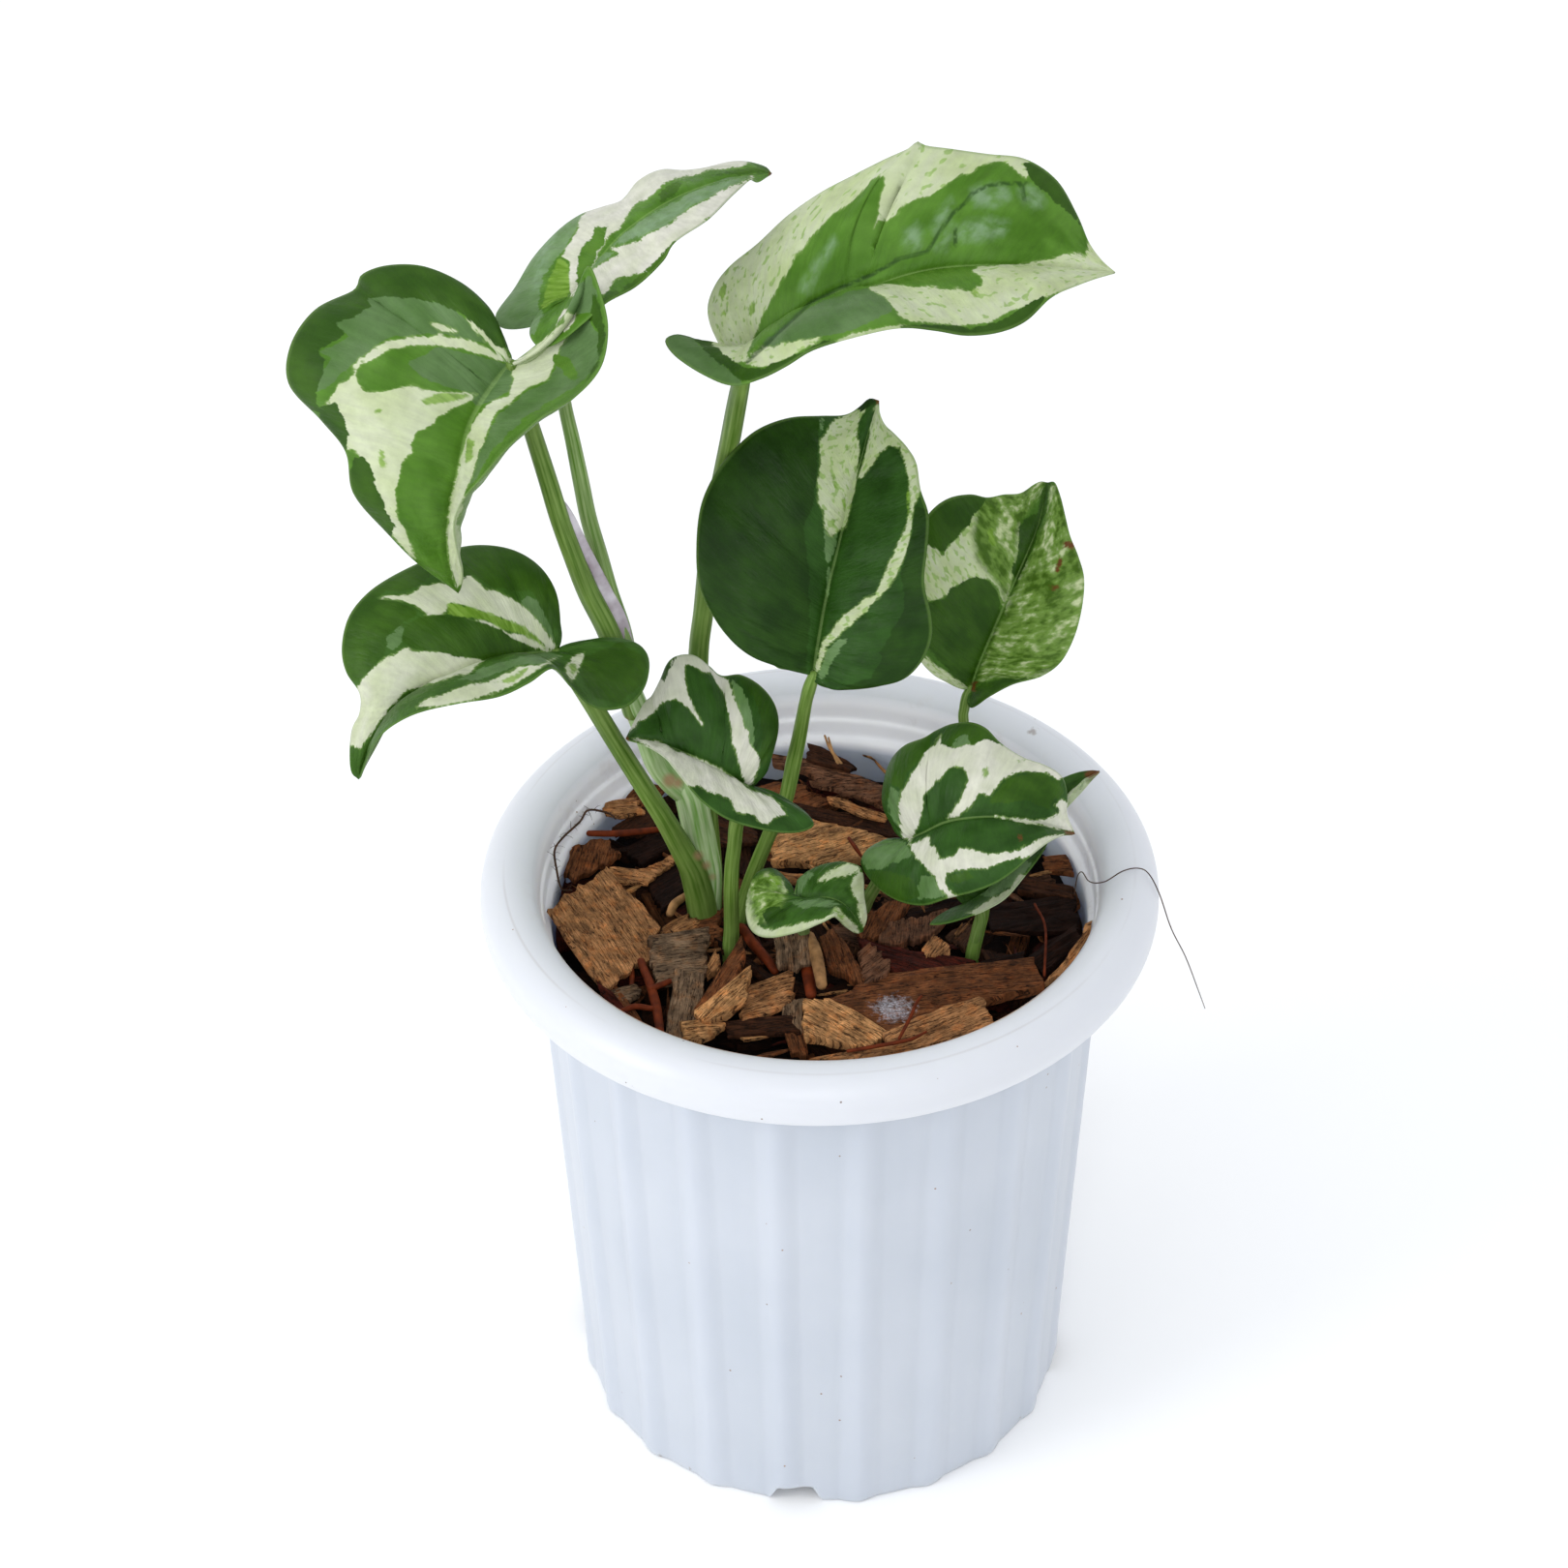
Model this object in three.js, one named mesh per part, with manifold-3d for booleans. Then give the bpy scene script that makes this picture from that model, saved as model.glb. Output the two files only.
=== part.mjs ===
// A potted pothos: a white ribbed nursery pot filled with bark chips, with ten variegated heart-shaped
// leaves on green stalks. Millimetres, Z up, origin at the centre of the pot's resting face.
import * as THREE from 'three';
import { mergeVertices } from 'three/addons/utils/BufferGeometryUtils.js';
import Module from 'manifold-3d';

const wasm = await Module();
wasm.setup();

const GAP = 0.3; // clearance that touching pieces keep
const SLIVER = 0.02; // faces narrower than this are merged into their neighbours

// The pot
const POT_HEIGHT = 145;
const RIM_OUTER_RADIUS = 75;
const RIM_INNER_RADIUS = 61;
const WALL_TOP_RADIUS = 61.8; // outside of the wall just under the rim
const WALL_FOOT_RADIUS = 54.5; // outside of the wall at the foot
const WALL_THICKNESS = 2;
const WALL_TOP_Z = 128;
const FLOOR_UNDERSIDE_Z = 5;
const FLOOR_THICKNESS = 2.2;
const FOOT_RING_WIDTH = 4;
const FOOT_PAD_RADIUS = 8; // round dimple in the middle of the floor, down to the resting plane
const RIB_COUNT = 20;
const RIB_WIDTH = 9;
const RIB_EDGE = 2.5; // width of each of a rib's sloping edges
const RIB_HEIGHT = 1.2;
const RIB_PHASE_DEG = -82; // the first rib, seen from above, measured from +X
const NOTCH_COUNT = 4;
const NOTCH_WIDTH = 12.5;
const NOTCH_HEIGHT = 4.2;
const NOTCH_PHASE_DEG = -97;
const DRAIN_COUNT = 6;
const DRAIN_RADIUS = 4;
const DRAIN_CIRCLE_RADIUS = 34;

// The bark chips
const BARK_TOP_Z = 124.5;
const CHIP_COUNT = 58;
const CHIP_SEED = 11;

// The leaves
const BLADE_THICKNESS = 0.8;
const RIBS_PER_HALF = 18; // veins sampled from the notch at the stalk to the tip
const STEPS_ACROSS = 3; // steps from the midrib to the margin

const COLOURS = {
  pot: 0xe4e9f1,
  bark: 0x7a5636,
  stalk: 0x6f9a48,
  leafDark: 0x3c7430,
  leafPale: 0xa9bf8c,
};

const rad = THREE.MathUtils.degToRad;
const clamp = THREE.MathUtils.clamp;

// A closed three.js geometry as a solid, with only its positions kept
function toSolid(geometry) {
  const bare = geometry.index ? geometry.clone() : geometry;
  for (const name of Object.keys(bare.attributes)) {
    if (name !== 'position') bare.deleteAttribute(name);
  }
  const merged = mergeVertices(bare, 1e-4);
  return new wasm.Manifold(new wasm.Mesh({
    numProp: 3,
    vertProperties: new Float32Array(merged.attributes.position.array),
    triVerts: new Uint32Array(merged.index.array),
  }));
}

function toMesh(name, solid, colour, roughness) {
  const shape = solid.getMesh();
  const geometry = new THREE.BufferGeometry();
  geometry.setAttribute('position', new THREE.BufferAttribute(shape.vertProperties, 3));
  geometry.setIndex(new THREE.BufferAttribute(shape.triVerts, 1));
  geometry.computeVertexNormals();
  const material = new THREE.MeshStandardMaterial({ color: colour, roughness, metalness: 0 });
  const mesh = new THREE.Mesh(geometry, material);
  mesh.name = name;
  return mesh;
}

const joinAll = (solids) => solids.reduce((whole, next) => whole.add(next));

// The largest of a solid's separate surfaces: sealed pockets are filled and loose scraps dropped
function outerBody(solid) {
  const bodies = solid.decompose();
  return bodies.reduce((best, next) => (next.volume() > best.volume() ? next : best));
}

// Catmull-Rom through every row of a list of number rows, at u from 0 to 1
function through(rows, u) {
  const last = rows.length - 1;
  const place = clamp(u, 0, 1) * last;
  const i = Math.min(Math.floor(place), last - 1);
  const f = place - i;
  const [b, c] = [rows[i], rows[i + 1]];
  const a = i > 0 ? rows[i - 1] : b.map((v, k) => 2 * v - c[k]);
  const d = i < last - 1 ? rows[i + 2] : c.map((v, k) => 2 * v - b[k]);
  return b.map((v, k) => 0.5 * (2 * v + (c[k] - a[k]) * f + (2 * a[k] - 5 * v + 4 * c[k] - d[k]) * f * f
    + (3 * v - a[k] - 3 * c[k] + d[k]) * f * f * f));
}

// The pot

// How far the outside of the wall stands proud at one of the four corners of a rib
const RIB_CORNERS = [
  { offset: -RIB_WIDTH / 2, height: 0 },
  { offset: -RIB_WIDTH / 2 + RIB_EDGE, height: RIB_HEIGHT },
  { offset: RIB_WIDTH / 2 - RIB_EDGE, height: RIB_HEIGHT },
  { offset: RIB_WIDTH / 2, height: 0 },
];

// Half section from the underside of the floor, up the outside, over the rim and down the inside.
// ribbed says how much of the rib's height shows at that point.
function potSection() {
  const inner = RIM_INNER_RADIUS;
  const floorTop = FLOOR_UNDERSIDE_Z + FLOOR_THICKNESS;
  const footInner = WALL_FOOT_RADIUS - FOOT_RING_WIDTH;
  const point = (r, z, ribbed = 0) => ({ r, z, ribbed });
  return [
    point(0, 0),
    point(FOOT_PAD_RADIUS, 0),
    point(FOOT_PAD_RADIUS + 1.8, FLOOR_UNDERSIDE_Z),
    point(footInner - 1, FLOOR_UNDERSIDE_Z),
    point(footInner, 0),
    point(WALL_FOOT_RADIUS - 1, 0),
    point(WALL_FOOT_RADIUS, 1.2, 1),
    point(WALL_TOP_RADIUS - 0.1, WALL_TOP_Z, 1),
    point(WALL_TOP_RADIUS + 0.8, WALL_TOP_Z + 3),
    point(inner + 2.4, POT_HEIGHT - 8),
    point(inner + 5, POT_HEIGHT - 3.6),
    point(inner + 8, POT_HEIGHT - 2.4),
    point(RIM_OUTER_RADIUS - 3.2, POT_HEIGHT - 3.8),
    point(RIM_OUTER_RADIUS - 2, POT_HEIGHT - 7),
    point(RIM_OUTER_RADIUS - 2.2, POT_HEIGHT - 10.4),
    point(RIM_OUTER_RADIUS - 0.6, POT_HEIGHT - 10.8),
    point(RIM_OUTER_RADIUS, POT_HEIGHT - 7.6),
    point(RIM_OUTER_RADIUS - 0.7, POT_HEIGHT - 4.4),
    point(RIM_OUTER_RADIUS - 3.2, POT_HEIGHT - 1.4),
    point(RIM_OUTER_RADIUS - 6.5, POT_HEIGHT),
    point(inner + 3.2, POT_HEIGHT - 1),
    point(inner + 0.8, POT_HEIGHT - 3.8),
    point(inner, POT_HEIGHT - 8),
    point(inner - 0.4, POT_HEIGHT - 13),
    point(inner - 1.4, POT_HEIGHT - 14),
    point(WALL_FOOT_RADIUS - WALL_THICKNESS, floorTop + 2),
    point(WALL_FOOT_RADIUS - WALL_THICKNESS - 2, floorTop),
    point(FOOT_PAD_RADIUS, floorTop),
    point(FOOT_PAD_RADIUS - 1.8, FLOOR_THICKNESS),
    point(0, FLOOR_THICKNESS),
  ];
}

// The section turned about Z. On the ribbed wall there is a column of points at each rib corner, so
// that the wall between two ribs is a flat panel; elsewhere the columns are even.
function potBody() {
  const section = potSection();
  const columns = [];
  const pitch = (2 * Math.PI) / (RIB_COUNT * RIB_CORNERS.length);
  const start = rad(RIB_PHASE_DEG) - 1.5 * pitch;
  for (let rib = 0; rib < RIB_COUNT; rib += 1) {
    const centre = rad(RIB_PHASE_DEG + (360 / RIB_COUNT) * rib);
    for (const corner of RIB_CORNERS) {
      const angle = centre + corner.offset / WALL_TOP_RADIUS;
      columns.push({ angle, even: start + pitch * columns.length, height: corner.height });
    }
  }
  const positions = [];
  const index = [];
  const place = (row, column) => {
    const { r, z, ribbed } = section[row];
    const reach = r + ribbed * column.height;
    const angle = ribbed ? column.angle : column.even;
    positions.push(reach * Math.cos(angle), reach * Math.sin(angle), z);
  };
  positions.push(0, 0, section[0].z);
  for (let row = 1; row < section.length - 1; row += 1) columns.forEach((column) => place(row, column));
  positions.push(0, 0, section[section.length - 1].z);
  const n = columns.length;
  const top = positions.length / 3 - 1;
  const at = (row, k) => 1 + (row - 1) * n + (k % n);
  for (let k = 0; k < n; k += 1) {
    index.push(0, at(1, k + 1), at(1, k));
    for (let row = 1; row < section.length - 2; row += 1) {
      index.push(at(row, k), at(row, k + 1), at(row + 1, k + 1));
      index.push(at(row, k), at(row + 1, k + 1), at(row + 1, k));
    }
    index.push(top, at(section.length - 2, k), at(section.length - 2, k + 1));
  }
  const geometry = new THREE.BufferGeometry();
  geometry.setAttribute('position', new THREE.Float32BufferAttribute(positions, 3));
  geometry.setIndex(index);
  return toSolid(geometry);
}

// An upright or lying round bar, for cutting holes
function bar(radius, length, sides, place) {
  const geometry = new THREE.CylinderGeometry(radius, radius, length, sides);
  geometry.applyMatrix4(place);
  return toSolid(geometry);
}

function buildPot() {
  const cuts = [];
  const upright = new THREE.Matrix4().makeRotationX(Math.PI / 2);
  for (let k = 0; k < DRAIN_COUNT; k += 1) {
    const turn = new THREE.Matrix4().makeRotationZ(rad((360 / DRAIN_COUNT) * k));
    const shift = new THREE.Matrix4().makeTranslation(DRAIN_CIRCLE_RADIUS, 0, FLOOR_UNDERSIDE_Z);
    cuts.push(bar(DRAIN_RADIUS, 20, 12, turn.multiply(shift).multiply(upright)));
  }
  const lying = new THREE.Matrix4().makeRotationZ(Math.PI / 2);
  for (let k = 0; k < NOTCH_COUNT; k += 1) {
    const turn = new THREE.Matrix4().makeRotationZ(rad(NOTCH_PHASE_DEG + (360 / NOTCH_COUNT) * k));
    const shift = new THREE.Matrix4().makeTranslation(WALL_FOOT_RADIUS - 1, 0, 0);
    const flatten = new THREE.Matrix4().makeScale(1, 1, NOTCH_HEIGHT / (NOTCH_WIDTH / 2));
    cuts.push(bar(NOTCH_WIDTH / 2, 14, 12, turn.multiply(shift).multiply(flatten).multiply(lying)));
  }
  return potBody().subtract(joinAll(cuts));
}

// The stalks

// A closed round stalk through hand-placed points [x, y, z, radius]
function stalk(points, { sides = 8, steps = 4, grow = 0 } = {}) {
  const rings = (points.length - 1) * steps;
  const line = [];
  for (let i = 0; i <= rings; i += 1) line.push(through(points, i / rings));
  const centre = (i) => new THREE.Vector3(line[i][0], line[i][1], line[i][2]);
  const positions = [];
  const index = [];
  let side = new THREE.Vector3(1, 0, 0);
  for (let i = 0; i <= rings; i += 1) {
    const ahead = centre(Math.min(i + 1, rings)).sub(centre(Math.max(i - 1, 0))).normalize();
    side = side.addScaledVector(ahead, -side.dot(ahead)).normalize();
    const up = new THREE.Vector3().crossVectors(ahead, side);
    const radius = line[i][3] + grow;
    const middle = centre(i);
    if (i === 0) middle.addScaledVector(ahead, -grow);
    if (i === rings) middle.addScaledVector(ahead, grow);
    for (let k = 0; k < sides; k += 1) {
      const turn = (2 * Math.PI * k) / sides;
      const p = middle.clone().addScaledVector(side, radius * Math.cos(turn));
      p.addScaledVector(up, radius * Math.sin(turn));
      positions.push(p.x, p.y, p.z);
    }
    if (i === 0 || i === rings) positions.push(middle.x, middle.y, middle.z);
  }
  const first = sides;
  const ring = (i, k) => (i === 0 ? 0 : sides * i + 1) + (k % sides);
  const last = positions.length / 3 - 1;
  for (let k = 0; k < sides; k += 1) {
    index.push(first, ring(0, k + 1), ring(0, k));
    for (let i = 0; i < rings; i += 1) {
      index.push(ring(i, k), ring(i, k + 1), ring(i + 1, k + 1));
      index.push(ring(i, k), ring(i + 1, k + 1), ring(i + 1, k));
    }
    index.push(last, ring(rings, k), ring(rings, k + 1));
  }
  const geometry = new THREE.BufferGeometry();
  geometry.setAttribute('position', new THREE.Float32BufferAttribute(positions, 3));
  geometry.setIndex(index);
  return toSolid(geometry);
}

// Each stem is one body: its vine, if it has one, and the stalks that grow from it. A stalk runs through
// the points [x, y, z, radius] and one that names a leaf ends under that leaf's notch.
const STEMS = {
  stem_a: [
    { points: [[-24, 7, 115, 4.4], [-25, 7.5, 133, 4.6], [-30, 8, 158, 4], [-36, 8, 175, 3.8],
      [-41, 7, 187, 3.2]] },
    { leaf: 'leaf_1', points: [[-40, 7, 184, 2.9], [-45, 5, 212, 2.6], [-56, 1, 250, 2.2]] },
    { leaf: 'leaf_2', points: [[-40, 8, 183, 2.6], [-43, 11, 215, 2.3], [-50, 13, 245, 2]] },
    { leaf: 'leaf_3', points: [[-26, 9, 134, 2.8], [-26, 15, 160, 2.5], [-23, 16, 222, 2.3]] },
    { leaf: 'leaf_6', points: [[-25, 5, 128, 2.8], [-30, 1, 150, 2.4], [-43, -3.5, 180, 2.2]] },
  ],
  stem_b: [{ leaf: 'leaf_8', points: [[-19, -8, 115, 2.1], [-19, -9, 140, 2], [-17, -11, 163, 1.8]] }],
  stem_c: [{ leaf: 'leaf_4', points: [[-16, 3, 115, 2.3], [-11, 2, 150, 2.1], [-5, -3, 181, 2]] }],
  stem_d: [{ leaf: 'leaf_7', points: [[9, 2, 115, 2.2], [11, 0, 137, 2.1], [15, -6.5, 150, 1.9]] }],
  stem_e: [
    { leaf: 'leaf_5', points: [[34, -12, 115, 2.6], [35, -5, 140, 2.4], [34.5, 8, 163, 2.1]] },
    { leaf: 'leaf_10', points: [[34.4, -9.5, 128, 2], [35, -11, 134, 1.8]] },
  ],
  stem_f: [{ leaf: 'leaf_9', points: [[-3, -8, 115, 1.7], [-3, -10, 131, 1.6]] }],
};

// The leaves

// Half outline of a blade from the notch at the stalk to the tip. Rows: part of the length, part of
// the basal lobe, part of the half width.
const HALF_OUTLINE = [
  [0, 0, 0], [0, -0.45, 0.05], [0, -0.95, 0.33], [0.03, -0.66, 0.72], [0.13, -0.08, 0.95],
  [0.31, 0, 1], [0.5, 0, 0.91], [0.68, 0, 0.69], [0.84, 0, 0.38], [0.94, 0, 0.13], [1, 0, 0],
];

// base and tip are the two ends of the midrib and roll turns the blade about the line between them
// (a positive roll lifts its left half). arch is how far the midrib rises above that line. The pairs
// give the left and the right half: width, basal lobe, fold up from the midrib in degrees at the base
// and at the tip, more fold or lift in the lobe, curl across, and belly, which moves the widest place
// towards the tip.
const LEAVES = {
  leaf_1: { base: [-63, -4, 283], tip: [-77, -6, 226.5], width: [32, 42], lobe: [21, 9], roll: -42,
    arch: 13, fold: [38, 10], tipFold: [33, 42], lobeFold: [-25, 0], belly: [-0.3, -0.8],
    wave: [1, 1.5], wavePhase: [0.2, 0.6] },
  leaf_2: { base: [-53, 12, 285.5], tip: [-9, 44, 296.5], width: [18, 18], lobe: [10, 9], roll: -13,
    arch: 4, fold: [10, 8], wave: [-1.5, 0], wavePhase: [0.3, 0] },
  leaf_3: { base: [-14.5, 8, 274], tip: [62, 18, 288.5], width: [28, 27], lobe: [2, 15], roll: 0,
    arch: 12, fold: [32, 45], tipFold: [32, -25], lobeLift: [0, 140], belly: [0.85, 0],
    wave: [1.5, 1], wavePhase: [0.4, 0] },
  leaf_4: { base: [-1.4, -10, 205.5], tip: [13.3, 27.5, 250.3], width: [29, 23], lobe: [1, 2],
    roll: 16, arch: 0, fold: [3, 18], curl: [0, 10], belly: [0.35, 0.2],
    wave: [0.8, 0.8], wavePhase: [0, 0.5] },
  leaf_5: { base: [32.5, 15, 181.5], tip: [51.5, 43, 216.5], width: [20, 17.5], lobe: [4, 3.5],
    roll: 26, arch: 0, fold: [5, 12], belly: [0.4, 0.6], wave: [0.8, 1], wavePhase: [0.3, 0.7] },
  leaf_6: { base: [-56, -5, 208.5], tip: [-97.5, -25, 190], width: [21, 28], lobe: [23, 4], roll: 0,
    arch: 9, fold: [25, 36], lobeFold: [-75, 0], belly: [0, 0.1], wave: [0, 1], wavePhase: [0, 0.3] },
  leaf_7: { base: [19.2, -12, 160.6], tip: [54.8, -15, 165.2], width: [21, 17.5], lobe: [8, 14],
    roll: 35, arch: 10, fold: [3, 3], belly: [0.3, 0], wave: [1.2, 0.6], wavePhase: [0.5, 0] },
  leaf_8: { base: [-15.3, -12, 176.3], tip: [-41.5, -5, 183.9], width: [12, 20], lobe: [20, 0.5],
    roll: 0, arch: 5, fold: [8, 42], lobeLift: [60, 0], belly: [0, 1], wave: [0, 1.2], wavePhase: [0, 0.4] },
  leaf_9: { base: [-5.2, -16, 148], tip: [9.1, -20, 142.2], width: [10, 11], lobe: [3, 12], roll: 25,
    arch: 5, fold: [10, 10], lobeLift: [0, 40], belly: [0.5, -0.9] },
  leaf_10: { base: [35.5, -11, 142], tip: [61.8, 10, 162], width: [10, 12], lobe: [3, 15], roll: 0,
    arch: 3, fold: [30, 20], tipFold: [30, 35], lobeFold: [0, 20], lobeLift: [0, 60] },
};

const STALK_TIP_RADIUS = 1.6;
const SEAT_REACH = 2.5; // how far past the notch a stalk runs under the midrib

const LEAF_DEFAULTS = {
  lobe: [8, 8], lobeFold: [0, 0], lobeLift: [0, 0], curl: [0, 0], belly: [0, 0],
  wave: [0, 0], wavePhase: [0, 0],
};

const VEIN_START = 0.12; // the ribs up to here all leave from the notch
const VEIN_SWEEP = 2.2; // how late the others leave the midrib
const VEIN_BOW = 0.05;

// How far along the midrib rib s leaves it, as a part of the length
const ribLeaves = (s) => Math.max(0, (s - VEIN_START) / (1 - VEIN_START)) ** VEIN_SWEEP;

// The point of a blade on rib s (0 at the notch, 1 at the tip) and step t (0 at the midrib, 1 at the
// margin) of one half: 0 is the left half and 1 the right half
function bladePoint(leaf, half, s, t) {
  const base = new THREE.Vector3(...leaf.base);
  const chord = new THREE.Vector3(...leaf.tip).sub(base);
  const length = chord.length();
  chord.normalize();
  const flatUp = new THREE.Vector3(0, 0, 1).addScaledVector(chord, -chord.z).normalize();
  const flatLeft = new THREE.Vector3().crossVectors(flatUp, chord);
  const roll = rad(leaf.roll);
  const left = flatLeft.clone().multiplyScalar(Math.cos(roll)).addScaledVector(flatUp, Math.sin(roll));
  const up = flatUp.clone().multiplyScalar(Math.cos(roll)).addScaledVector(flatLeft, -Math.sin(roll));

  // where the point lies on the flat blade: x along the midrib and y across
  const [outLong, outLobe, outWide] = through(HALF_OUTLINE, s);
  const lobe = leaf.lobe[half];
  const marginX = (outLong + leaf.belly[half] * outLong * (1 - outLong)) * length + outLobe * lobe;
  const marginY = Math.max(outWide, 0) * leaf.width[half];
  let ribStart = length * ribLeaves(s);
  if (s >= 0.35) ribStart = Math.min(ribStart, Math.max(marginX, 0));
  const bow = VEIN_BOW * length * Math.sin(Math.PI * clamp((s - 0.25) / 0.75, 0, 1)) * 4 * t * (1 - t);
  const x = s > 0 && t > 0 ? ribStart * (1 - t) + marginX * t - bow : ribStart;
  const y = marginY * t;
  const u = clamp(x / length, 0, 1);
  const back = clamp(-x / Math.max(lobe, 1e-6), 0, 1.2);
  const lobeBlend = THREE.MathUtils.smoothstep((0.35 - x / Math.max(lobe, 1)) / 1.2, 0, 1);

  // the midrib there, with its own direction, left and up
  const place = chord.clone().multiplyScalar(length * u).addScaledVector(up, leaf.arch * 4 * u * (1 - u));
  const ahead = chord.clone().multiplyScalar(length);
  ahead.addScaledVector(up, leaf.arch * 4 * (1 - 2 * u)).normalize();
  const ribUp = new THREE.Vector3().crossVectors(ahead, left).normalize();

  // folded up from the midrib, curled and waved
  const [fold, tipFold] = [leaf.fold[half], (leaf.tipFold || leaf.fold)[half]];
  const angle = rad(fold + (tipFold - fold) * u + leaf.lobeFold[half] * lobeBlend);
  const curl = (leaf.curl[half] ? rad(leaf.curl[half]) : 1e-5) / leaf.width[half];
  const across = (Math.sin(angle + curl * y) - Math.sin(angle)) / curl;
  const wave = leaf.wave[half] * Math.sin(2 * Math.PI * (2 * s + leaf.wavePhase[half]));
  const rise = (Math.cos(angle) - Math.cos(angle + curl * y)) / curl + wave * t * t * Math.sin(Math.PI * s);
  const lobeX = Math.min(x, 0);
  const lift = rad(leaf.lobeLift[half]) * back / 2;
  place.addScaledVector(ahead, lobeX * Math.cos(lift)).addScaledVector(ribUp, -lobeX * Math.sin(lift));
  place.addScaledVector(left, (half === 0 ? 1 : -1) * across).addScaledVector(ribUp, rise);
  return place.add(base);
}

// A thin closed blade: the two halves meet at the midrib, both faces are split into triangles alike,
// and a narrow strip closes the margin
function blade(leaf, thickness) {
  const spec = { ...LEAF_DEFAULTS, ...leaf };
  const points = [];
  const grid = [];
  const width = 2 * STEPS_ACROSS;
  for (let i = 0; i < RIBS_PER_HALF; i += 1) {
    const row = [];
    const s = i / (RIBS_PER_HALF - 1);
    const closed = i === 0 || i === RIBS_PER_HALF - 1;
    for (let j = 0; j <= width; j += 1) {
      const step = j - STEPS_ACROSS;
      if (closed && j > 0) {
        row.push(row[0]);
      } else if (step === 0 && ribLeaves(s) === 0 && i > 0) {
        row.push(grid[0][0]);
      } else {
        row.push(points.length);
        const t = closed ? 0 : Math.abs(step) / STEPS_ACROSS;
        points.push(bladePoint(spec, step < 0 ? 0 : 1, s, t));
      }
    }
    grid.push(row);
  }
  const face = [];
  const addTriangle = (a, b, c) => {
    if (a !== b && b !== c && c !== a) face.push([a, b, c]);
  };
  for (let i = 0; i < RIBS_PER_HALF - 1; i += 1) {
    for (let j = 0; j < width; j += 1) {
      const [a, b, c, d] = [grid[i][j], grid[i][j + 1], grid[i + 1][j + 1], grid[i + 1][j]];
      if (j < STEPS_ACROSS) {
        addTriangle(a, b, c);
        addTriangle(a, c, d);
      } else {
        addTriangle(a, b, d);
        addTriangle(b, c, d);
      }
    }
  }
  const normals = points.map(() => new THREE.Vector3());
  for (const [a, b, c] of face) {
    const ab = points[b].clone().sub(points[a]);
    const n = ab.cross(points[c].clone().sub(points[a]));
    [a, b, c].forEach((v) => normals[v].add(n));
  }
  const positions = [];
  for (const side of [0.5, -0.5]) {
    points.forEach((p, v) => {
      const q = p.clone().addScaledVector(normals[v].normalize(), side * thickness);
      positions.push(q.x, q.y, q.z);
    });
  }
  const count = points.length;
  const index = [];
  const edges = new Map();
  for (const [a, b, c] of face) {
    index.push(a, b, c, count + a, count + c, count + b);
    for (const [p, q] of [[a, b], [b, c], [c, a]]) {
      if (edges.has(`${q},${p}`)) edges.delete(`${q},${p}`);
      else edges.set(`${p},${q}`, [p, q]);
    }
  }
  for (const [p, q] of edges.values()) index.push(q, p, count + p, q, count + p, count + q);
  const geometry = new THREE.BufferGeometry();
  geometry.setAttribute('position', new THREE.Float32BufferAttribute(positions, 3));
  geometry.setIndex(index);
  return toSolid(geometry);
}

// A stalk that reaches the underside of its leaf
function leafStalk({ leaf, points }, options) {
  if (!leaf) return stalk(points, options);
  const spec = { ...LEAF_DEFAULTS, ...LEAVES[leaf] };
  const notch = bladePoint(spec, 0, 0, 0);
  const along = bladePoint(spec, 0, 0.4, 0).sub(notch).setLength(SEAT_REACH);
  const across = bladePoint(spec, 0, 0.45, 0.3).sub(bladePoint(spec, 1, 0.45, 0.3));
  const under = new THREE.Vector3().crossVectors(across, along).setLength(BLADE_THICKNESS);
  const end = notch.add(along).add(under);
  return stalk([...points, [end.x, end.y, end.z, STALK_TIP_RADIUS]], options);
}

// The bark

// A repeatable draw of numbers between 0 and 1
function makeDraw(seed) {
  let state = seed;
  return () => {
    state = (state * 16807) % 2147483647;
    return state / 2147483647;
  };
}

// One rough slab of bark: a box with its corners pulled about, turned and laid in place
function chip({ at, size, yaw, pitch, bank }, draw) {
  const geometry = new THREE.BoxGeometry(...size);
  const position = geometry.attributes.position;
  const pulls = new Map();
  for (let i = 0; i < position.count; i += 1) {
    const key = [position.getX(i), position.getY(i), position.getZ(i)].join();
    if (!pulls.has(key)) pulls.set(key, [1 - 0.25 * draw(), 1 - 0.25 * draw(), 1 - 0.2 * draw()]);
    const pull = pulls.get(key);
    position.setXYZ(i, position.getX(i) * pull[0], position.getY(i) * pull[1], position.getZ(i) * pull[2]);
  }
  const turn = new THREE.Euler(rad(bank), rad(pitch), rad(yaw), 'ZYX');
  geometry.applyMatrix4(new THREE.Matrix4().makeRotationFromEuler(turn));
  geometry.translate(...at);
  return toSolid(geometry);
}

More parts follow.
